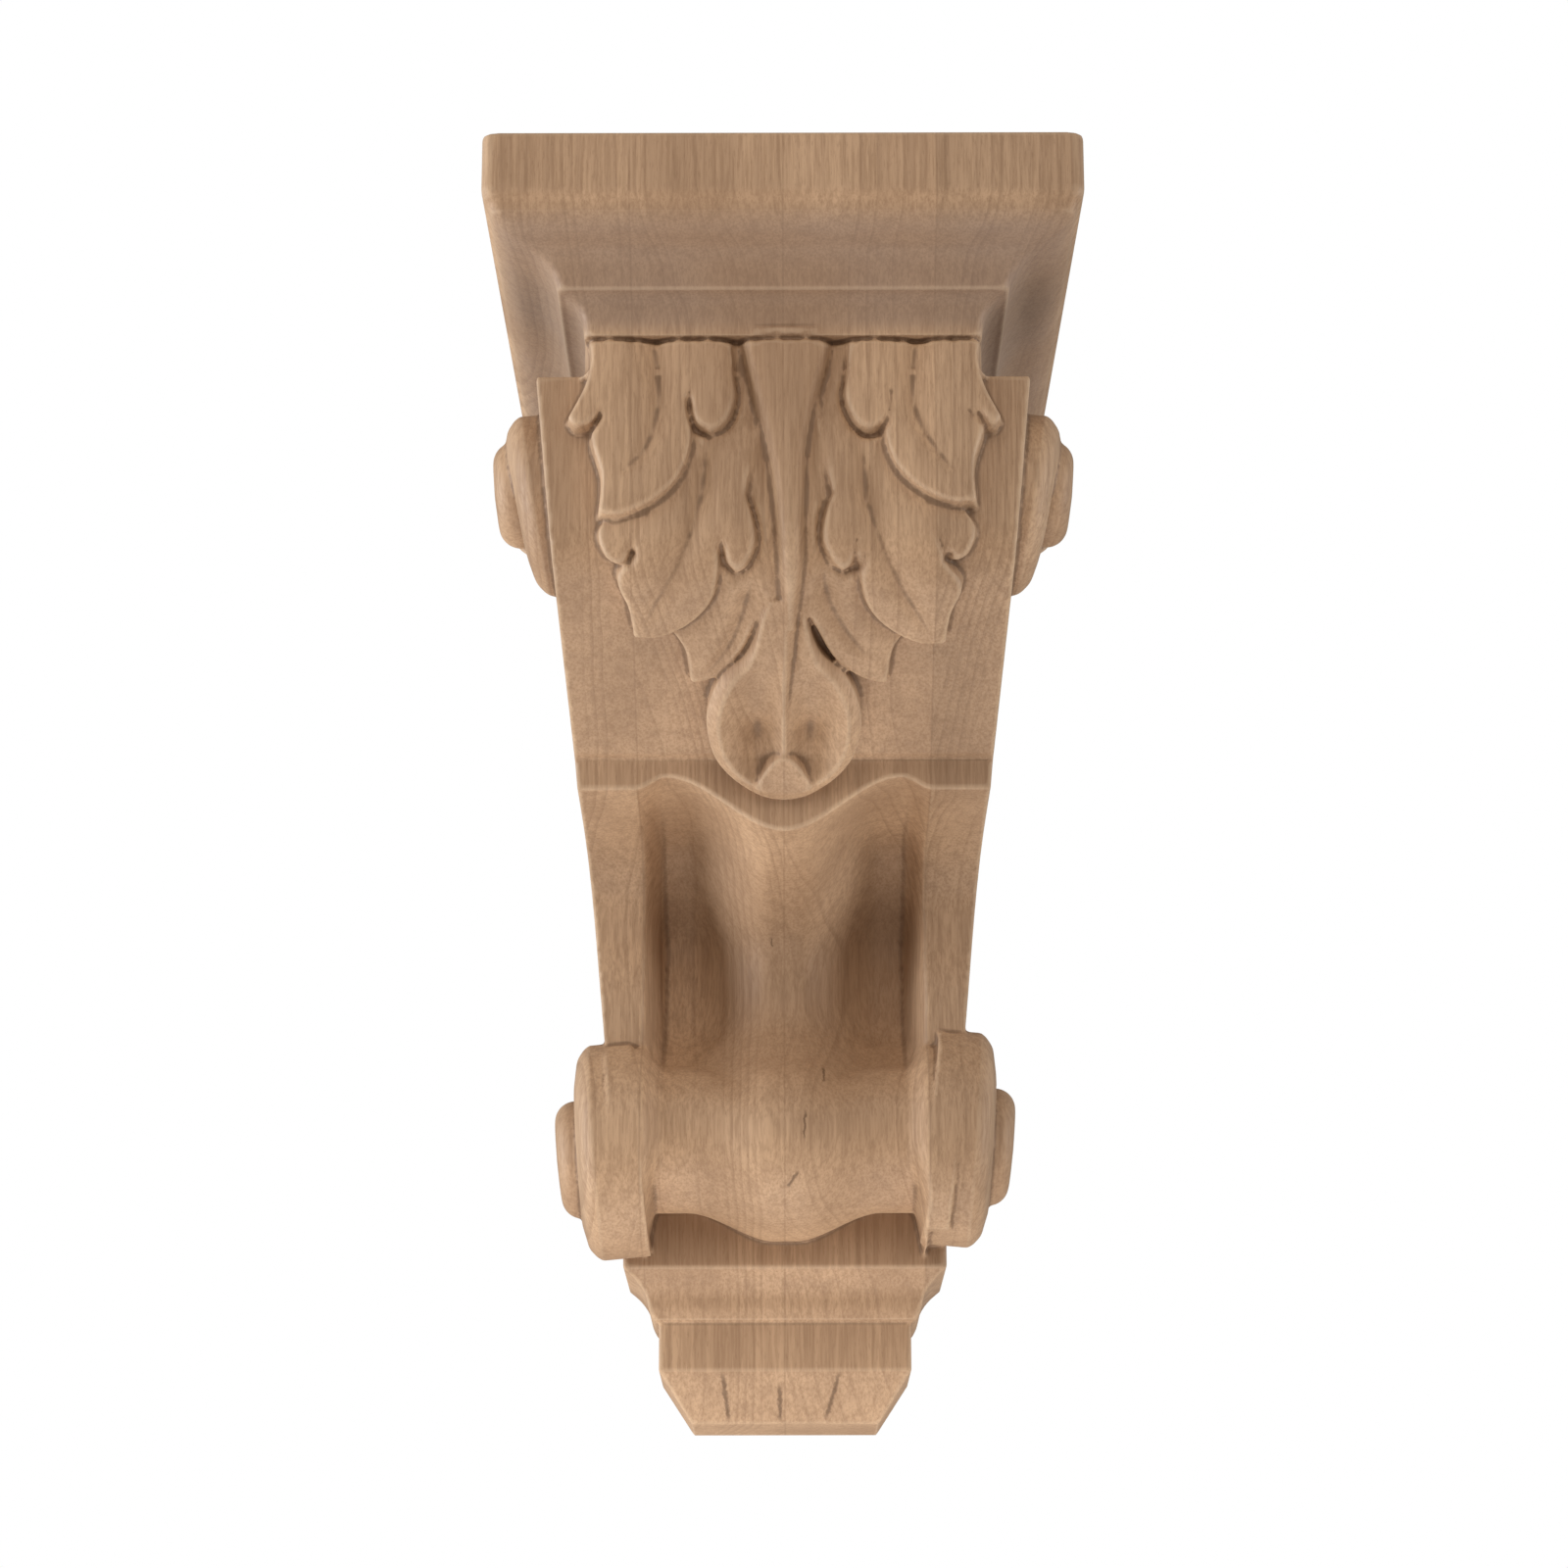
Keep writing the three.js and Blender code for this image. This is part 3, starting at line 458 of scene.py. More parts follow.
# narrow knife cuts round the ends of the small lobes
cuts = [
    [(-10.2, 8), (-9.7, 13.4), (-11.3, 19), (-14.6, 22)],
    [(-20.2, 14), (-19, 20.2), (-15, 22.4)],
    [(13.5, 7.5), (12.5, 12.7), (13.6, 17.4), (16.6, 21.6), (20.4, 21.6), (22.8, 18.4)],
    [(-7.7, 35.2), (-5.8, 41.1), (-5.5, 45.1), (-7.8, 49.2), (-10.1, 50.7)],
    [(-13.4, 44.6), (-12.5, 48.4), (-9.6, 50.7)],
    [(8.5, 36), (7.5, 42.8), (9, 46.9), (12.1, 49.9), (15.8, 49.4), (17.5, 46.2)],
    [(-32.9, 48.9), (-31.6, 45.9)],
    [(34.2, 48.4), (35.4, 46.4)],
    [(-48.6, 17.2), (-46.2, 21), (-43.4, 22), (-40.6, 20.9), (-38.6, 17.6)],
    [(47.6, 18), (44.6, 21.4), (40.8, 17)],
    [(-5.3, 61), (-6.9, 66.4), (-9.7, 71.7), (-13.9, 76.2)],
    [(5.7, 62.5), (8.1, 69.5), (11, 73.8), (15.6, 77)],
]


def placed(points, side, shift):
    dx, ds = shift if side > 0 else (0, 0)
    return np.array([(side * (x + dx), down + ds) for x, down in points])


def freeEdge(lobe, side):
    outer = curveThrough(placed(lobe["outer"], side, lobe["shift"]), 36)
    return np.concatenate([outer, curveThrough(placed(lobe["lower"], side, lobe["shift"]), 48)[1:]])


def leafHeights(x, down):
    # painted from the lowest lobe to the highest, each with a soft step at its outline
    height = np.full(x.shape, -1.0)
    step = leaf["gridStep"]
    for side in (-1, 1):
        for lobe in lobes.values():
            edge = freeEdge(lobe, side)
            outline = np.concatenate([edge, placed(lobe["root"], side, lobe["shift"])])
            signed = distanceToLine(x, down, np.concatenate([outline, outline[:1]]))[0]
            signed *= np.where(insideOutline(x, down, outline), 1, -1)
            cover = np.clip(0.5 + signed / (1.5 * step), 0, 1)
            toEdge = distanceToLine(x, down, edge)[0]
            toUpper = np.full(x.shape, 1e3)
            for upper in lobe["over"]:
                toUpper = np.minimum(toUpper, distanceToLine(x, down, freeEdge(lobes[upper], side))[0])
            tipDown = lobe["outer"][-1][1]
            face = lobe["tip"] + (leaf["face"] - lobe["tip"]) * np.clip(1 - down / tipDown, 0, 1)
            face -= leaf["sink"] * np.exp(-toUpper / leaf["sinkReach"])
            rise = np.clip(toEdge / leaf["crownReach"], 0, 1)
            face -= leaf["crown"] * (1 - np.sqrt(1 - (1 - rise) ** 2))
            face -= leaf["arris"] * np.clip(1 - toEdge / leaf["arris"], 0, 1) ** 2 * 0.8
            height = height * (1 - cover) + face * cover
    # the midrib between the stem's two grooves, which runs on into the drop
    left, right = [curveThrough(line, 60) for line in stemLines]
    leftX = np.interp(down, left[:, 1], left[:, 0])
    rightX = np.interp(down, right[:, 1], right[:, 0])
    middle, half = (leftX + rightX) / 2, (rightX - leftX) / 2
    across = np.abs(x - middle) / half
    rib = leaf["face"] + leaf["ribRise"] - 0.8 * np.clip(across, 0, 1) ** 2
    inRib = ease((half + 0.8 - np.abs(x - middle)) / 1.2) * ease((66 - down) / 3)
    height = height * (1 - inRib) + rib * inRib
    carved = ease((height + 0.6) / 1.2)
    for line in veins:
        line = curveThrough(line, 60)
        d, along = distanceToLine(x, down, line)
        opening = 1 if line[0][1] < 0 else ease(along / 0.3)
        swell = opening * np.clip(1 - along, 0, 1) ** 0.55
        width = leaf["veinWidth"] + leaf["veinFlare"] * swell
        height -= carved * leaf["veinDepth"] * swell * np.exp(-((d / width) ** 1.4))
    for line, ribSide in ((left, 1), (right, -1)):
        d, along = distanceToLine(x, down, line)
        towardRib = ribSide * (x - np.interp(down, line[:, 1], line[:, 0])) > 0
        width = np.where(towardRib, leaf["stemEdge"], leaf["stemWidth"] - 2 * along)
        depth = leaf["stemDepth"] * (1 - 0.6 * along) * ease((1 - along) / 0.12)
        height -= carved * depth * np.exp(-((d / width) ** 1.2))
    for cut in cuts:
        d, along = distanceToLine(x, down, curveThrough(cut, 40))
        fade = np.clip(np.minimum(along, 1 - along) * 5, 0, 1) ** 0.7
        height -= carved * leaf["cutDepth"] * fade * np.exp(-((d / leaf["cutWidth"]) ** 1.5))
    # the line cut along the underside of the cap, a little ragged
    wander = 0.1 * np.sin(x * 0.9) + 0.08 * np.sin(x * 2.1 + 1)
    fromLine = (down - leaf["linePlace"] - wander) / leaf["lineWidth"]
    return height - leaf["lineDepth"] * (1 + wander) * np.exp(-(fromLine**2))


def makeLeaf():
    step = leaf["gridStep"] * 1
    shares = np.linspace(-1, 1, int(100 / step))
    down = np.arange(-1.5, 82, step)
    share, s = np.meshgrid(shares, down)
    under = sideAt(panelPoint(s)[1]) - 1.2
    neck = overall["width"] / 2 - capInset - 0.2
    x = share * (neck + (under - neck) * ease((s - 7.2) / 1.6))      # narrower behind the cap's neck
    height = leafHeights(x, s)
    y, z, outY, outZ = panelPoint(s)
    upper = np.stack([x, -(y + height * outY), z + height * outZ], -1)
    lower = np.stack([x, -(y - 3.5 * outY), z - 3.5 * outZ], -1)
    return reliefSheet("leaf", upper, lower)


# drop at the leaf's end, hanging straight in front of the band

drop = {
    "length": 45.5, "start": 60, "thickness": 7, "dish": 3.3, "proud": 4, "belowLedge": 12.5,
    "bevel": 2.7, "bevelDepth": 2.2, "lip": 0.4, "hollows": 1.9, "grooveDepth": 1.5,
}
dropHalf = [
    (3.6, -4), (5, 0), (6.4, 6), (8.6, 10.4), (13.1, 14.6), (15.8, 20.3), (16.8, 26.5), (15.3, 34.2),
    (11.3, 40), (5, 44.4), (0, 45.5),
]


def dropHeights(x, t, half):
    # distance in from the outline, then a bevelled rim, two hollows, the ridge between and a lip below
    outline = np.concatenate([half, half[::-1] * (-1, 1)])
    inward = distanceToLine(x, t, outline)[0]
    bevel = drop["bevel"] * (0.25 + 0.75 * ease((t - 4) / 14))
    face = -drop["bevelDepth"] * np.clip(1 - inward / bevel, 0, 1) ** 1.3
    toSide = np.interp(t, half[:, 1], half[:, 0])
    share = np.clip(np.abs(x) / np.maximum(toSide - bevel, 1), 0, 1)
    depth = ease((t - 6) / 22) * (1 - ease((t - 35) / 7))
    dish = -drop["dish"] * depth * np.sin(pi * share**0.85) ** 1.15
    dish -= drop["hollows"] * np.exp(-(((np.abs(x) - 5.6) / 3.1) ** 2) - ((t - 29.3) / 3.8) ** 2)
    ridge = 0.5 * np.exp(-np.abs(x - 0.3) / 0.9) * (1 - ease((t - 32) / 2))
    lipTop = 33.3 + 0.2 * x**2
    lip = drop["lip"] - 1.9 * np.clip((t - lipTop) / (drop["length"] - 33), 0, 1) ** 1.6
    onLip = ease((t - lipTop + 0.4) / 0.9) * ease((7.5 - np.abs(x)) / 2.5)
    face += dish * (1 - onLip) + ridge + lip * onLip * (1 - np.clip(1 - inward / bevel, 0, 1))
    # the right stem groove runs on down the drop
    groove = curveThrough([(3.6, -5), (3.2, -2), (2.5, 7.5), (1.3, 18), (0.7, 30)], 40)
    d, along = distanceToLine(x, t, groove)
    width = 0.4 + 0.8 * (1 - along)
    return face - drop["grooveDepth"] * (1 - along) ** 0.6 * np.exp(-((d / width) ** 1.3))


def makeDrop():
    y, z, outY, outZ = panelPoint(np.float64(drop["start"]))
    startPoint = np.array([y + panel["relief"] * outY, z + panel["relief"] * outZ])
    endPoint = np.array([bandFace + drop["proud"], ledgeZ - drop["belowLedge"]])
    along = (endPoint - startPoint) / drop["length"]
    half = curveThrough(dropHalf, 140)
    half[:, 1] = np.maximum.accumulate(half[:, 1])
    shares = np.sin(np.linspace(-pi / 2, pi / 2, 130))
    t = half[:, 1][:, None] + 0 * shares[None, :]
    x = half[:, 0][:, None] * shares[None, :]
    face = dropHeights(x, t, half)

    def atHeight(raised):
        out = startPoint[0] + along[0] * t - along[1] * raised
        up = startPoint[1] + along[1] * t + along[0] * raised
        return np.stack([x, -out, up], -1)

    return reliefSheet("drop", atHeight(face), atHeight(-drop["thickness"] + 0 * face))


# scrolls on the sides

winding = {"steps": 240, "bevel": 3, "sunk": 6}
eye = {"steps": 72, "rounding": 4.6, "sunk": 6, "crown": 0.4}
scrolls = [
    {
        "y": panelFace - 22, "z": top - 66.5, "radius": 20, "start": -pi / 2 - 0.46, "turn": 1,
        "closesFrom": 0.45, "low": 1.8, "high": 9, "eye": 11.6, "eyeRise": 11.4, "eyeLift": 3,
        "rightLift": 0,
    },
    {
        "y": roll["projection"] - 24.5, "z": rollZ - 2, "radius": 24.5, "start": pi / 2 + 0.6, "turn": -1,
        "closesFrom": 0.66, "low": 4.2, "high": 6.5, "eye": 13.4, "eyeRise": 13, "eyeLift": -1.2,
        "rightLift": 2.8,
    },
]


def scrollFrame(side, scroll):
    # places (forward, up, out) on the tapered side
    tilt = atan(taper)
    z = scroll["z"] + (scroll["rightLift"] if side > 0 else 0)
    forward = Vector((0, -1, 0))
    up = Vector((side * sin(tilt), 0, cos(tilt)))
    out = Vector((side * cos(tilt), 0, -sin(tilt)))
    turned = Matrix((forward, up, out)).transposed().to_4x4()
    turned.translation = Vector((side * sideAt(z), -scroll["y"], z))
    return np.array(turned)


def onSide(points, side, scroll):
    points = np.array(points, float)
    m = scrollFrame(side, scroll)
    return points @ m[:3, :3].T + m[:3, 3]


def makeWinding(side, scroll):
    # one closed band that winds in and rises as it goes, with a bevel down to a flat edge
    share = np.linspace(0, 0.994, winding["steps"])
    angle = scroll["start"] + scroll["turn"] * share * 2 * pi
    close = ease((share - scroll["closesFrom"]) / (1 - scroll["closesFrom"]))
    reach = scroll["radius"] - (scroll["radius"] - scroll["eye"] - 1) * close
    rim = (scroll["low"] + (scroll["high"] - scroll["low"]) * share) * np.minimum(share / 0.05, 1) - 0.2
    rim *= 0.3 + 0.7 * ease((1 - share) / 0.14)
    bevel = np.minimum(winding["bevel"], (reach - scroll["eye"]) / 2)
    inner = scroll["eye"] + 0.1 + 0 * reach
    crown = rim + bevel * 0.8
    # from the buried edge, up over the bevel and in under the eye: distance from the middle, and height
    section = [
        (reach, 0 * rim - winding["sunk"]), (reach, rim - 0.6), (reach - bevel * 0.1, rim - 0.1),
        (reach - bevel * 0.3, rim + bevel * 0.24), (reach - bevel * 0.8, crown - bevel * 0.16),
        (reach - bevel * 1.1, crown), (inner + (reach - bevel - inner) * 0.3, crown + (reach - inner) * 0.1),
        (inner, crown + (reach - inner) * 0.06), (inner - 0.8, crown - 1.6), (2 + 0 * reach, crown - 1.8),
    ]
    rings = []
    for fromMiddle, out in section:
        ring = np.stack([fromMiddle * np.cos(angle), fromMiddle * np.sin(angle), out], 1)
        rings.append(onSide(ring, side, scroll))
    return loft("winding", rings)


def makeEye(side, scroll):
    # a domed button
    radius, rise, rounding = scroll["eye"], scroll["eyeRise"], eye["rounding"]
    bends = np.linspace(0, 1.45, 12)
    arc = [(radius - rounding + rounding * cos(a), rise - rounding + rounding * sin(a)) for a in bends]
    profile = [(0.01, -eye["sunk"]), (radius, -eye["sunk"]), *arc, (0.01, rise + eye["crown"])]
    turns = np.arange(eye["steps"]) * 2 * pi / eye["steps"]
    rings = []
    for r, out in profile:
        ring = [(r * cos(a), scroll["eyeLift"] + r * sin(a), out) for a in turns]
        rings.append(onSide(ring, side, scroll))
    return loft("eye", rings)


# put together, fused and softened

carve = {"voxel": 0.5, "soften": 3, "triangles": 190000}


def makeCorbel():
    blank, apron = makeBody()
    applyModifier(blank, "BOOLEAN", operation="UNION", solver="MANIFOLD", object=apron)
    cutter = makeHollow()
    applyModifier(blank, "BOOLEAN", operation="DIFFERENCE", solver="MANIFOLD", object=cutter)
    for o in (apron, cutter):
        bpy.data.objects.remove(o)
    print("body hollowed:", len(blank.data.polygons), "faces")
    parts = [makeCap(), makeNeck(), makeFoot(), makeLeaf(), makeDrop()]
    for scroll in scrolls:
        for side in (-1, 1):
            parts += [makeWinding(side, scroll), makeEye(side, scroll)]
    selectOnly(blank, *parts)
    bpy.ops.object.join()
    blank.name = "carvedCorbel"
    voxel = carve["voxel"] * 1
    applyModifier(blank, "REMESH", mode="VOXEL", voxel_size=voxel * mm, adaptivity=0)
    print("fused:", len(blank.data.polygons), "faces")
    applyModifier(blank, "SMOOTH", factor=0.5, iterations=carve["soften"])
    markEdges(blank)
    triangles = sum(len(p.vertices) - 2 for p in blank.data.polygons)
    applyModifier(blank, "DECIMATE", ratio=min(1, carve["triangles"] / triangles))
    selectOnly(blank)
    bpy.ops.object.shade_smooth()
    print("carved piece:", len(blank.data.polygons), "faces")
    return blank


# wood

def markEdges(o):
    # writes how far each point stands out from its surroundings: above a half on arrises, below it in cuts
    mesh = o.data
    count = len(mesh.vertices)
    place = np.empty(count * 3)
    normal = np.empty(count * 3)
    ends = np.empty(len(mesh.edges) * 2, int)
    mesh.vertices.foreach_get("co", place)
    mesh.vertices.foreach_get("normal", normal)
    mesh.edges.foreach_get("vertices", ends)
    place, normal, ends = place.reshape(-1, 3), normal.reshape(-1, 3), ends.reshape(-1, 2)
    near = np.bincount(ends.ravel(), minlength=count)[:, None]
    smooth = place.copy()
    first, second = np.concatenate([ends[:, 0], ends[:, 1]]), np.concatenate([ends[:, 1], ends[:, 0]])
    for name, passes, depth in (("fineEdge", 4, 0.07), ("broadEdge", 30, 0.35)):
        for _ in range(passes):
            total = np.stack([np.bincount(first, smooth[second, k], count) for k in range(3)], 1)
            smooth = 0.5 * smooth + 0.5 * total / near
        proud = ((place - smooth) * normal).sum(1) / (depth * mm)
        values = np.clip(0.5 + 0.5 * proud, 0, 1).astype(np.float32)
        mesh.attributes.new(name, "FLOAT", "POINT").data.foreach_set("value", values)


# wood colours: the pale arris colour is wear and painted highlight, the hollow and cap moulding colours are
# painted shade, and the darkest is for gum stains and for burn marks and painted shade in the cuts
wood = {
    "light": (0.485, 0.297, 0.168), "mid": (0.36, 0.212, 0.116), "dark": (0.215, 0.115, 0.058),
    "wornAndHighlit": (0.60, 0.42, 0.27), "stainAndCutShade": (0.12, 0.06, 0.028), "hollowShade": (0.22, 0.125, 0.07),
    "capMouldingShade": (0.19, 0.12, 0.085), "ringSpacing": 0.0019, "board": 0.0323, "roughness": 0.62, "bump": 0.18,
    "pith": [(-0.34, -0.13), (-0.30, -0.05), (0.24, -0.14), (0.32, -0.06)],     # of each board, from above
}
# how strongly each mark shows, painted shade and highlight among them
marks = {
    "rings": 0.36, "streaks": 0.3, "fibres": 0.34, "pores": 0.3, "glue": 0.3, "gum": 0.75,
    "capMouldingShade": 0.62, "wornAndHighlit": 0.24, "hollowShade": 0.12, "stainAndCutShade": 0.64,
}
# dark streaks of gum on the front: from (x, z) to (x, z) and half their width, in mm
gumStreaks = [
    (-14.6, -115, -13, -126.8, 0.4), (-1.3, -118, -1.1, -126.8, 0.35), (12.9, -115, 9.2, -126.5, 0.4),
    (4.6, -62.5, 4.4, -70, 0.22), (8.9, -51, 8.7, -56, 0.2), (3.1, -76.2, 0.5, -80, 0.3),
    (-3, -20.5, -2.6, -22.5, 0.2),
]


class Nodes:
    # short hand for adding and joining shader nodes
    def __init__(self, material):
        material.use_nodes = True
        self.tree = material.node_tree
        self.shader = self.tree.nodes["Principled BSDF"]

    def add(self, kind, inputs=(), **settings):
        n = self.tree.nodes.new("ShaderNode" + kind)
        for key, value in settings.items():
            setattr(n, key, value)
        for place, value in dict(inputs).items():
            if isinstance(value, bpy.types.NodeSocket):
                self.tree.links.new(value, n.inputs[place])
            else:
                n.inputs[place].default_value = value
        return n

    def math(self, operation, a, b=0.0, c=0.0):
        return self.add("Math", {0: a, 1: b, 2: c}, operation=operation).outputs[0]

    def mix(self, share, a, b, blend="MIX"):
        n = self.add("Mix", {0: share, 6: a, 7: b}, data_type="RGBA", blend_type=blend)
        return n.outputs[2]

    def noise(self, vector, scale, detail=3.0, rough=0.5):
        inputs = {"Vector": vector, "Scale": scale, "Detail": detail, "Roughness": rough, "Distortion": 0.0}
        return self.add("TexNoise", inputs).outputs["Fac"]

    def stretch(self, vector, x, y, z):
        return self.add("Mapping", {"Vector": vector, "Scale": (x, y, z)}).outputs[0]

    def between(self, value, low, high, outLow=0.0, outHigh=1.0):
        inputs = {"Value": value, "From Min": low, "From Max": high, "To Min": outLow, "To Max": outHigh}
        return self.add("MapRange", inputs, interpolation_type="SMOOTHSTEP").outputs[0]


def colour(rgb):
    return (*rgb, 1)


def makeWood():
    material = bpy.data.materials.new("wood")
    n = Nodes(material)
    place = n.add("TexCoord").outputs["Object"]
    x, y, z = n.add("SeparateXYZ", {0: place}).outputs

    # four boards glued side by side, each with its own pith, which the growth rings go round
    board = n.math("ADD", n.math("FLOOR", n.math("DIVIDE", x, wood["board"])), 2.5)
    pith = n.add("ValToRGB", {0: n.math("DIVIDE", board, 4)})
    pith.color_ramp.interpolation = "CONSTANT"
    for i, (pithX, pithY) in enumerate(wood["pith"]):
        stop = pith.color_ramp.elements[i] if i < 2 else pith.color_ramp.elements.new(i / 4)
        stop.position = i / 4
        stop.color = (pithX + 0.5, pithY + 0.5, 0, 1)
    pithX, pithY = n.add("SeparateXYZ", {0: pith.outputs[0]}).outputs[:2]
    chance = n.add("TexWhiteNoise", {"W": board}, noise_dimensions="1D").outputs["Value"]
    slow = n.noise(n.stretch(place, 1, 1, 0.22), 26, 2)
    waver = n.math("MULTIPLY", n.math("SUBTRACT", slow, 0.5), 0.007)
    lean = n.math("MULTIPLY", z, n.math("MULTIPLY", n.math("SUBTRACT", chance, 0.5), 0.05))
    fromX = n.math("ADD", n.math("SUBTRACT", x, n.math("SUBTRACT", pithX, 0.5)), lean)
    fromY = n.math("SUBTRACT", y, n.math("SUBTRACT", pithY, 0.5))
    away = n.math("SQRT", n.math("ADD", n.math("MULTIPLY", fromX, fromX), n.math("MULTIPLY", fromY, fromY)))
    rings = n.math("DIVIDE", n.math("ADD", away, waver), wood["ringSpacing"])
    phase = n.math("FRACT", rings)
    lateWood = n.math("MULTIPLY", n.between(phase, 0.35, 0.92), n.between(phase, 1.0, 0.93))
    ringNumber = n.math("FLOOR", rings)
    ringChance = n.add("TexWhiteNoise", {"W": ringNumber}, noise_dimensions="1D").outputs["Value"]
    ringLine = n.math("MULTIPLY", lateWood, n.between(ringChance, 0.1, 1.0, 0.1, 1.0))

    # fine fibres, broader streaks and short dark pores along the grain
    fibres = n.noise(n.stretch(place, 1, 1, 0.06), 1700, 3, 0.6)
    streaks = n.noise(n.stretch(place, 1, 1, 0.04), 420, 3, 0.6)
    pores = n.between(n.noise(n.stretch(place, 1, 1, 0.14), 2900, 2), 0.56, 0.70)
    cloud = n.noise(n.stretch(place, 1, 1, 0.35), 34, 1.5, 0.5)

    shade = n.between(cloud, 0.3, 0.7)
    base = n.mix(shade, colour(wood["mid"]), colour(wood["light"]))
    base = n.mix(n.math("MULTIPLY", ringLine, marks["rings"]), base, colour(wood["dark"]))
    streaked = n.math("MULTIPLY", n.between(streaks, 0.42, 0.66), marks["streaks"])
    base = n.mix(streaked, base, colour(wood["dark"]))
    fibrous = n.math("MULTIPLY", n.between(fibres, 0.4, 0.64), marks["fibres"])
    base = n.mix(fibrous, base, colour(wood["dark"]))
    base = n.mix(n.math("MULTIPLY", pores, marks["pores"]), base, colour(wood["dark"]))
    tint = n.between(chance, 0, 1, 0.93, 1.05)
    base = n.mix(1.0, base, n.add("CombineXYZ", {0: tint, 1: tint, 2: tint}).outputs[0], "MULTIPLY")

    # the glue lines, and streaks of gum
    nearest = n.math("MULTIPLY", n.math("ROUND", n.math("DIVIDE", x, wood["board"])), wood["board"])
    toJoint = n.math("ABSOLUTE", n.math("SUBTRACT", x, nearest))
    glued = n.math("MULTIPLY", n.between(toJoint, 0.0003, 0.0001), marks["glue"])
    base = n.mix(glued, base, colour(wood["dark"]))
    ragged = n.math("MULTIPLY", n.math("SUBTRACT", n.noise(place, 900, 2), 0.5), 0.0012)
    gum = 0.0
    for ax, az, bx, bz, half in gumStreaks:
        run = n.math("DIVIDE", n.math("SUBTRACT", z, az * mm), (bz - az) * mm)
        middle = n.math("MULTIPLY_ADD", run, (bx - ax) * mm, ax * mm)
        aside = n.math("ABSOLUTE", n.math("ADD", n.math("SUBTRACT", x, middle), ragged))
        within = n.math("MULTIPLY", n.between(run, 0, 0.25), n.between(run, 1, 0.8))
        line = n.math("MULTIPLY", n.between(aside, half * 2 * mm, half * 0.4 * mm), within)
        gum = n.math("MAXIMUM", gum, line)
    onFront = n.between(y, -0.012, -0.02)
    gummed = n.math("MULTIPLY", n.math("MULTIPLY", gum, onFront), marks["gum"])
    base = n.mix(gummed, base, colour(wood["stainAndCutShade"]))

    # painted shade: the cap's mouldings under the fascia's overhang are painted darker and greyer
    aboveLine = n.between(z, (roundBottom - 1) * mm, (roundBottom + 4) * mm)
    belowFascia = n.between(z, (fasciaBottom + 0.5) * mm, (fasciaBottom - 5.5) * mm)
    inMouldings = n.math("MULTIPLY", aboveLine, belowFascia)
    cloudy = n.between(cloud, 0.25, 0.75, 0.5, 1.0)
    capMouldingShade = n.math("MULTIPLY", n.math("MULTIPLY", inMouldings, cloudy), marks["capMouldingShade"])
    base = n.mix(capMouldingShade, base, colour(wood["capMouldingShade"]))

    # arrises painted pale, partly for wear and partly as painted highlight; painted shade darkens the
    # hollows; the cuts are painted dark brown, partly burn marks and partly painted shade
    fine = n.add("Attribute", attribute_name="fineEdge").outputs["Fac"]
    broad = n.add("Attribute", attribute_name="broadEdge").outputs["Fac"]
    # painted highlight and wear: the arrises are paler
    pale = n.math("MULTIPLY", n.between(fine, 0.66, 1.0), marks["wornAndHighlit"])
    base = n.mix(pale, base, colour(wood["wornAndHighlit"]))
    # painted shade: the broad hollows are darker
    hollowShading = n.math("MULTIPLY", n.between(broad, 0.42, 0.0), marks["hollowShade"])
    base = n.mix(hollowShading, base, colour(wood["hollowShade"]))
    # painted shade and burn marks: the cuts are dark brown
    burnAndCutShade = n.math("MULTIPLY", n.between(fine, 0.36, 0.0), marks["stainAndCutShade"])
    base = n.mix(burnAndCutShade, base, colour(wood["stainAndCutShade"]))
    n.tree.links.new(base, n.shader.inputs["Base Color"])

    rough = n.between(fibres, 0.3, 0.8, wood["roughness"] - 0.06, wood["roughness"] + 0.1)
    n.tree.links.new(rough, n.shader.inputs["Roughness"])
    n.shader.inputs["Specular IOR Level"].default_value = 0.3

    height = n.math("ADD", n.math("MULTIPLY", fibres, 0.6), n.math("MULTIPLY", ringLine, -0.3))
    bump = n.add("Bump", {"Strength": wood["bump"], "Distance": 0.0002, "Height": height})
    n.tree.links.new(bump.outputs[0], n.shader.inputs["Normal"])
    return material


corbel = makeCorbel()
corbel.data.materials.clear()
corbel.data.materials.append(makeWood())
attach(corbel, "root")
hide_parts("corbel_bracket")
print("wood put on the corbel")


# floor, lights and camera

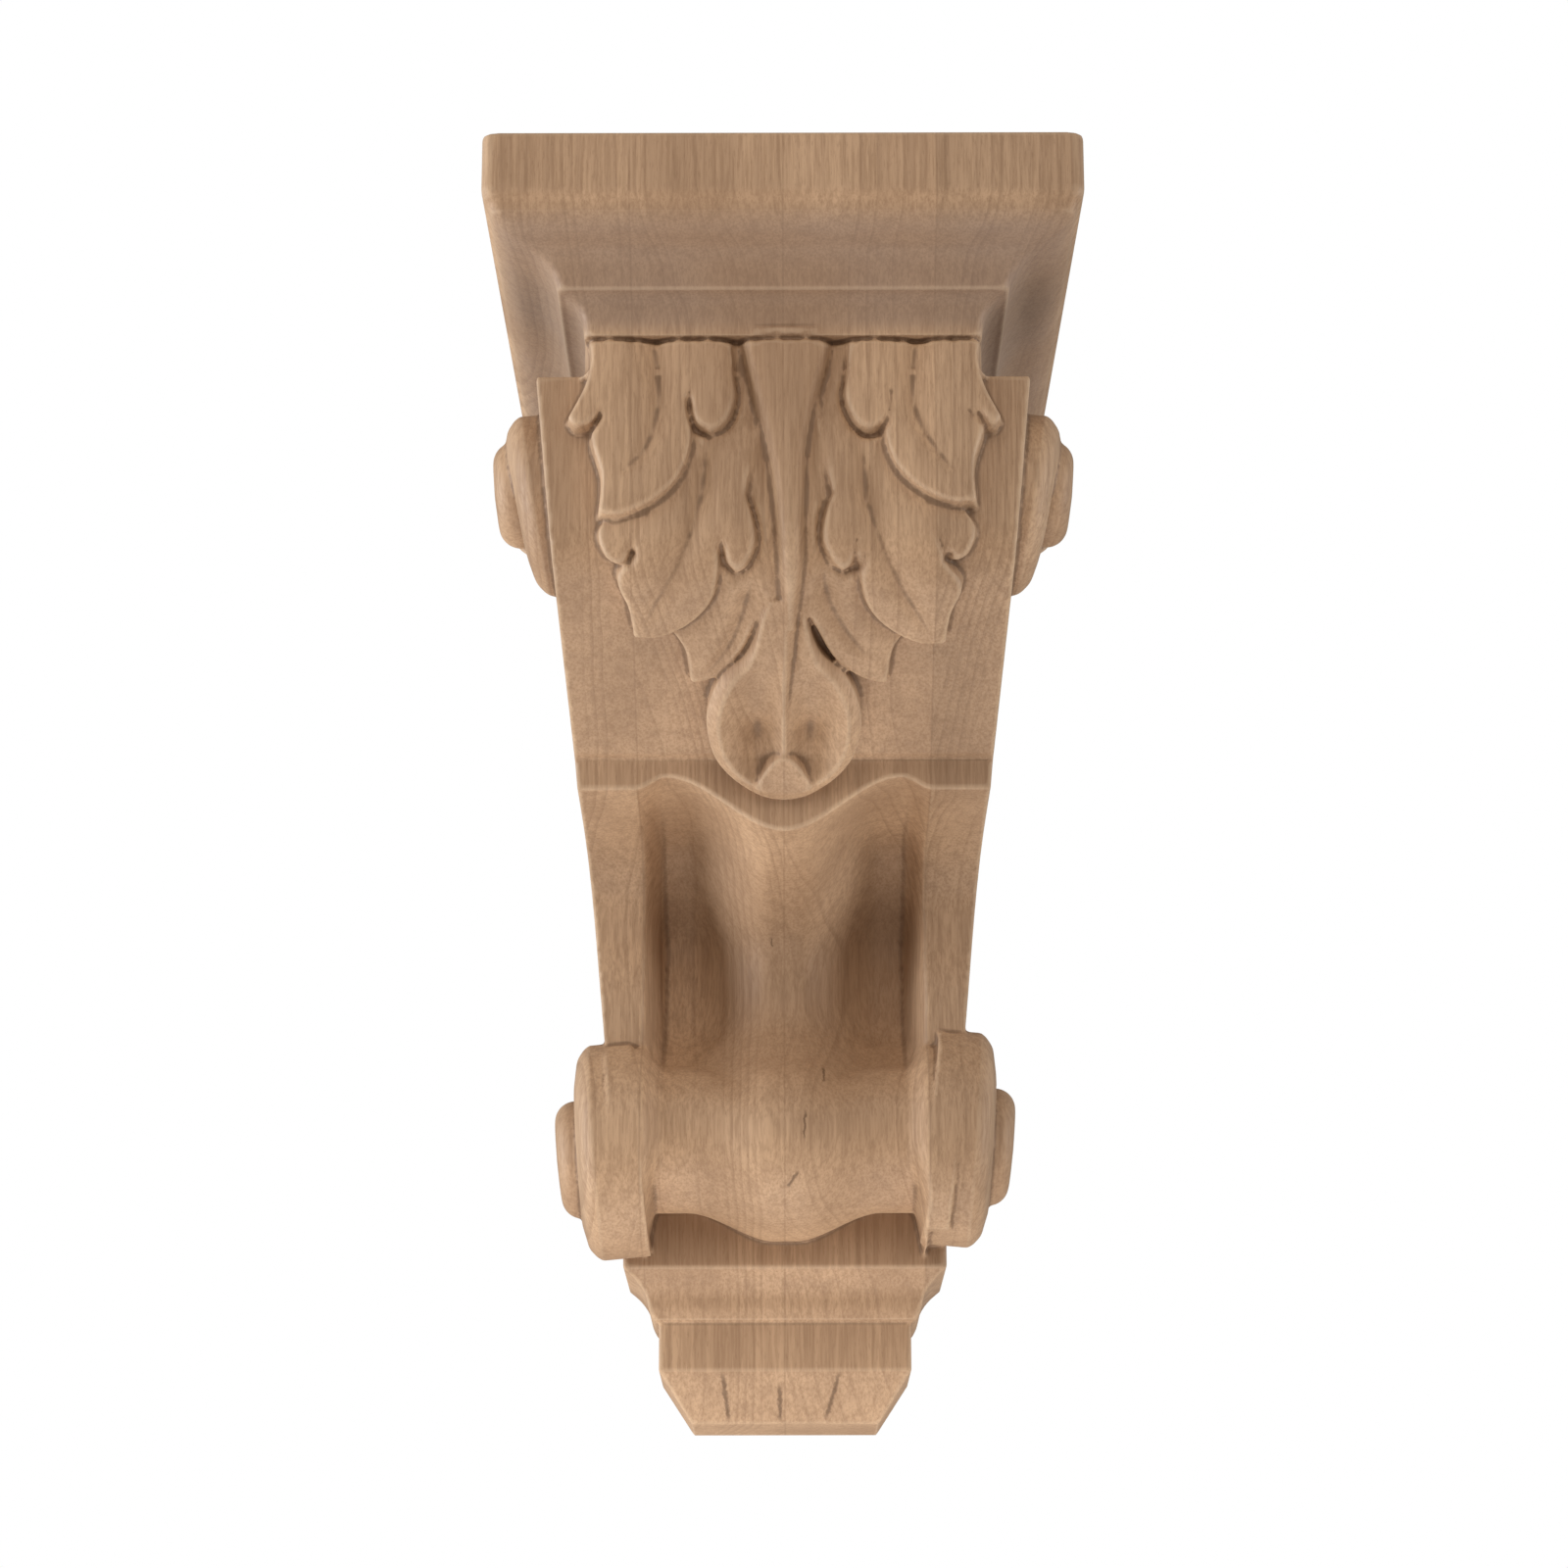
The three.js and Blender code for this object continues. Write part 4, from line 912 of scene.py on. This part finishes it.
studio = {
    "surround": 0.3, "floorDrop": 0.9, "floorSize": 6, "floorColour": (0.9, 0.9, 0.9),
    "aim": (0, -0.08, 0),
    "boxes": [       # place, size, watts, colour
        ((0, -0.92, 0.38), 0.8, 4.0, (1, 0.98, 0.94)),
        ((0, -0.14, -0.5), 0.35, 1.5, (1, 0.98, 0.95)),
        ((-1.1, -0.2, 0), 0.8, 18, (0.79, 0.89, 1)),
        ((1.1, -0.2, 0), 0.8, 8, (0.82, 0.91, 1)),
    ],
}
view = {"place": (0, -0.938, -0.2246), "lookUp": 15.376, "lean": -0.11, "lens": 90, "sensor": 36}


def makeFloor():
    bpy.ops.object.select_all(action="DESELECT")
    bpy.ops.mesh.primitive_plane_add(size=studio["floorSize"], location=(0, 0, -studio["floorDrop"]))
    floor = bpy.context.object
    floor.name = "floor"
    pale = bpy.data.materials.new("pale")
    pale.use_nodes = True
    shader = pale.node_tree.nodes["Principled BSDF"]
    shader.inputs["Base Color"].default_value = colour(studio["floorColour"])
    floor.data.materials.append(pale)


def makeLights():
    for place, size, watts, tint in studio["boxes"]:
        bpy.ops.object.light_add(type="AREA", location=place)
        box = bpy.context.object
        box.rotation_euler = (Vector(studio["aim"]) - Vector(place)).to_track_quat("-Z", "Y").to_euler()
        box.data.size = size
        box.data.energy = watts
        box.data.color = tint


def makeSurround():
    # white where the camera sees it, softer as light
    world = bpy.data.worlds.new("studio")
    world.use_nodes = True
    nodes, links = world.node_tree.nodes, world.node_tree.links
    nodes["Background"].inputs["Color"].default_value = (1, 1, 1, 1)
    whenSeen = nodes.new("ShaderNodeLightPath")
    strength = nodes.new("ShaderNodeMapRange")
    strength.inputs["To Min"].default_value = studio["surround"]
    strength.inputs["To Max"].default_value = 1.0
    links.new(whenSeen.outputs["Is Camera Ray"], strength.inputs["Value"])
    links.new(strength.outputs[0], nodes["Background"].inputs["Strength"])
    bpy.context.scene.world = world
    bpy.context.scene.view_settings.view_transform = "Standard"


def makeCamera():
    bpy.ops.object.camera_add(location=view["place"], rotation=(radians(90 + view["lookUp"]), 0, 0))
    camera = bpy.context.object
    camera.rotation_euler.rotate_axis("Z", radians(view["lean"]))
    camera.data.lens = view["lens"]
    camera.data.sensor_width = view["sensor"]
    camera.data.clip_start = 0.01
    bpy.context.scene.camera = camera


makeFloor()
makeLights()
makeSurround()
makeCamera()
print("floor, lights and camera placed")
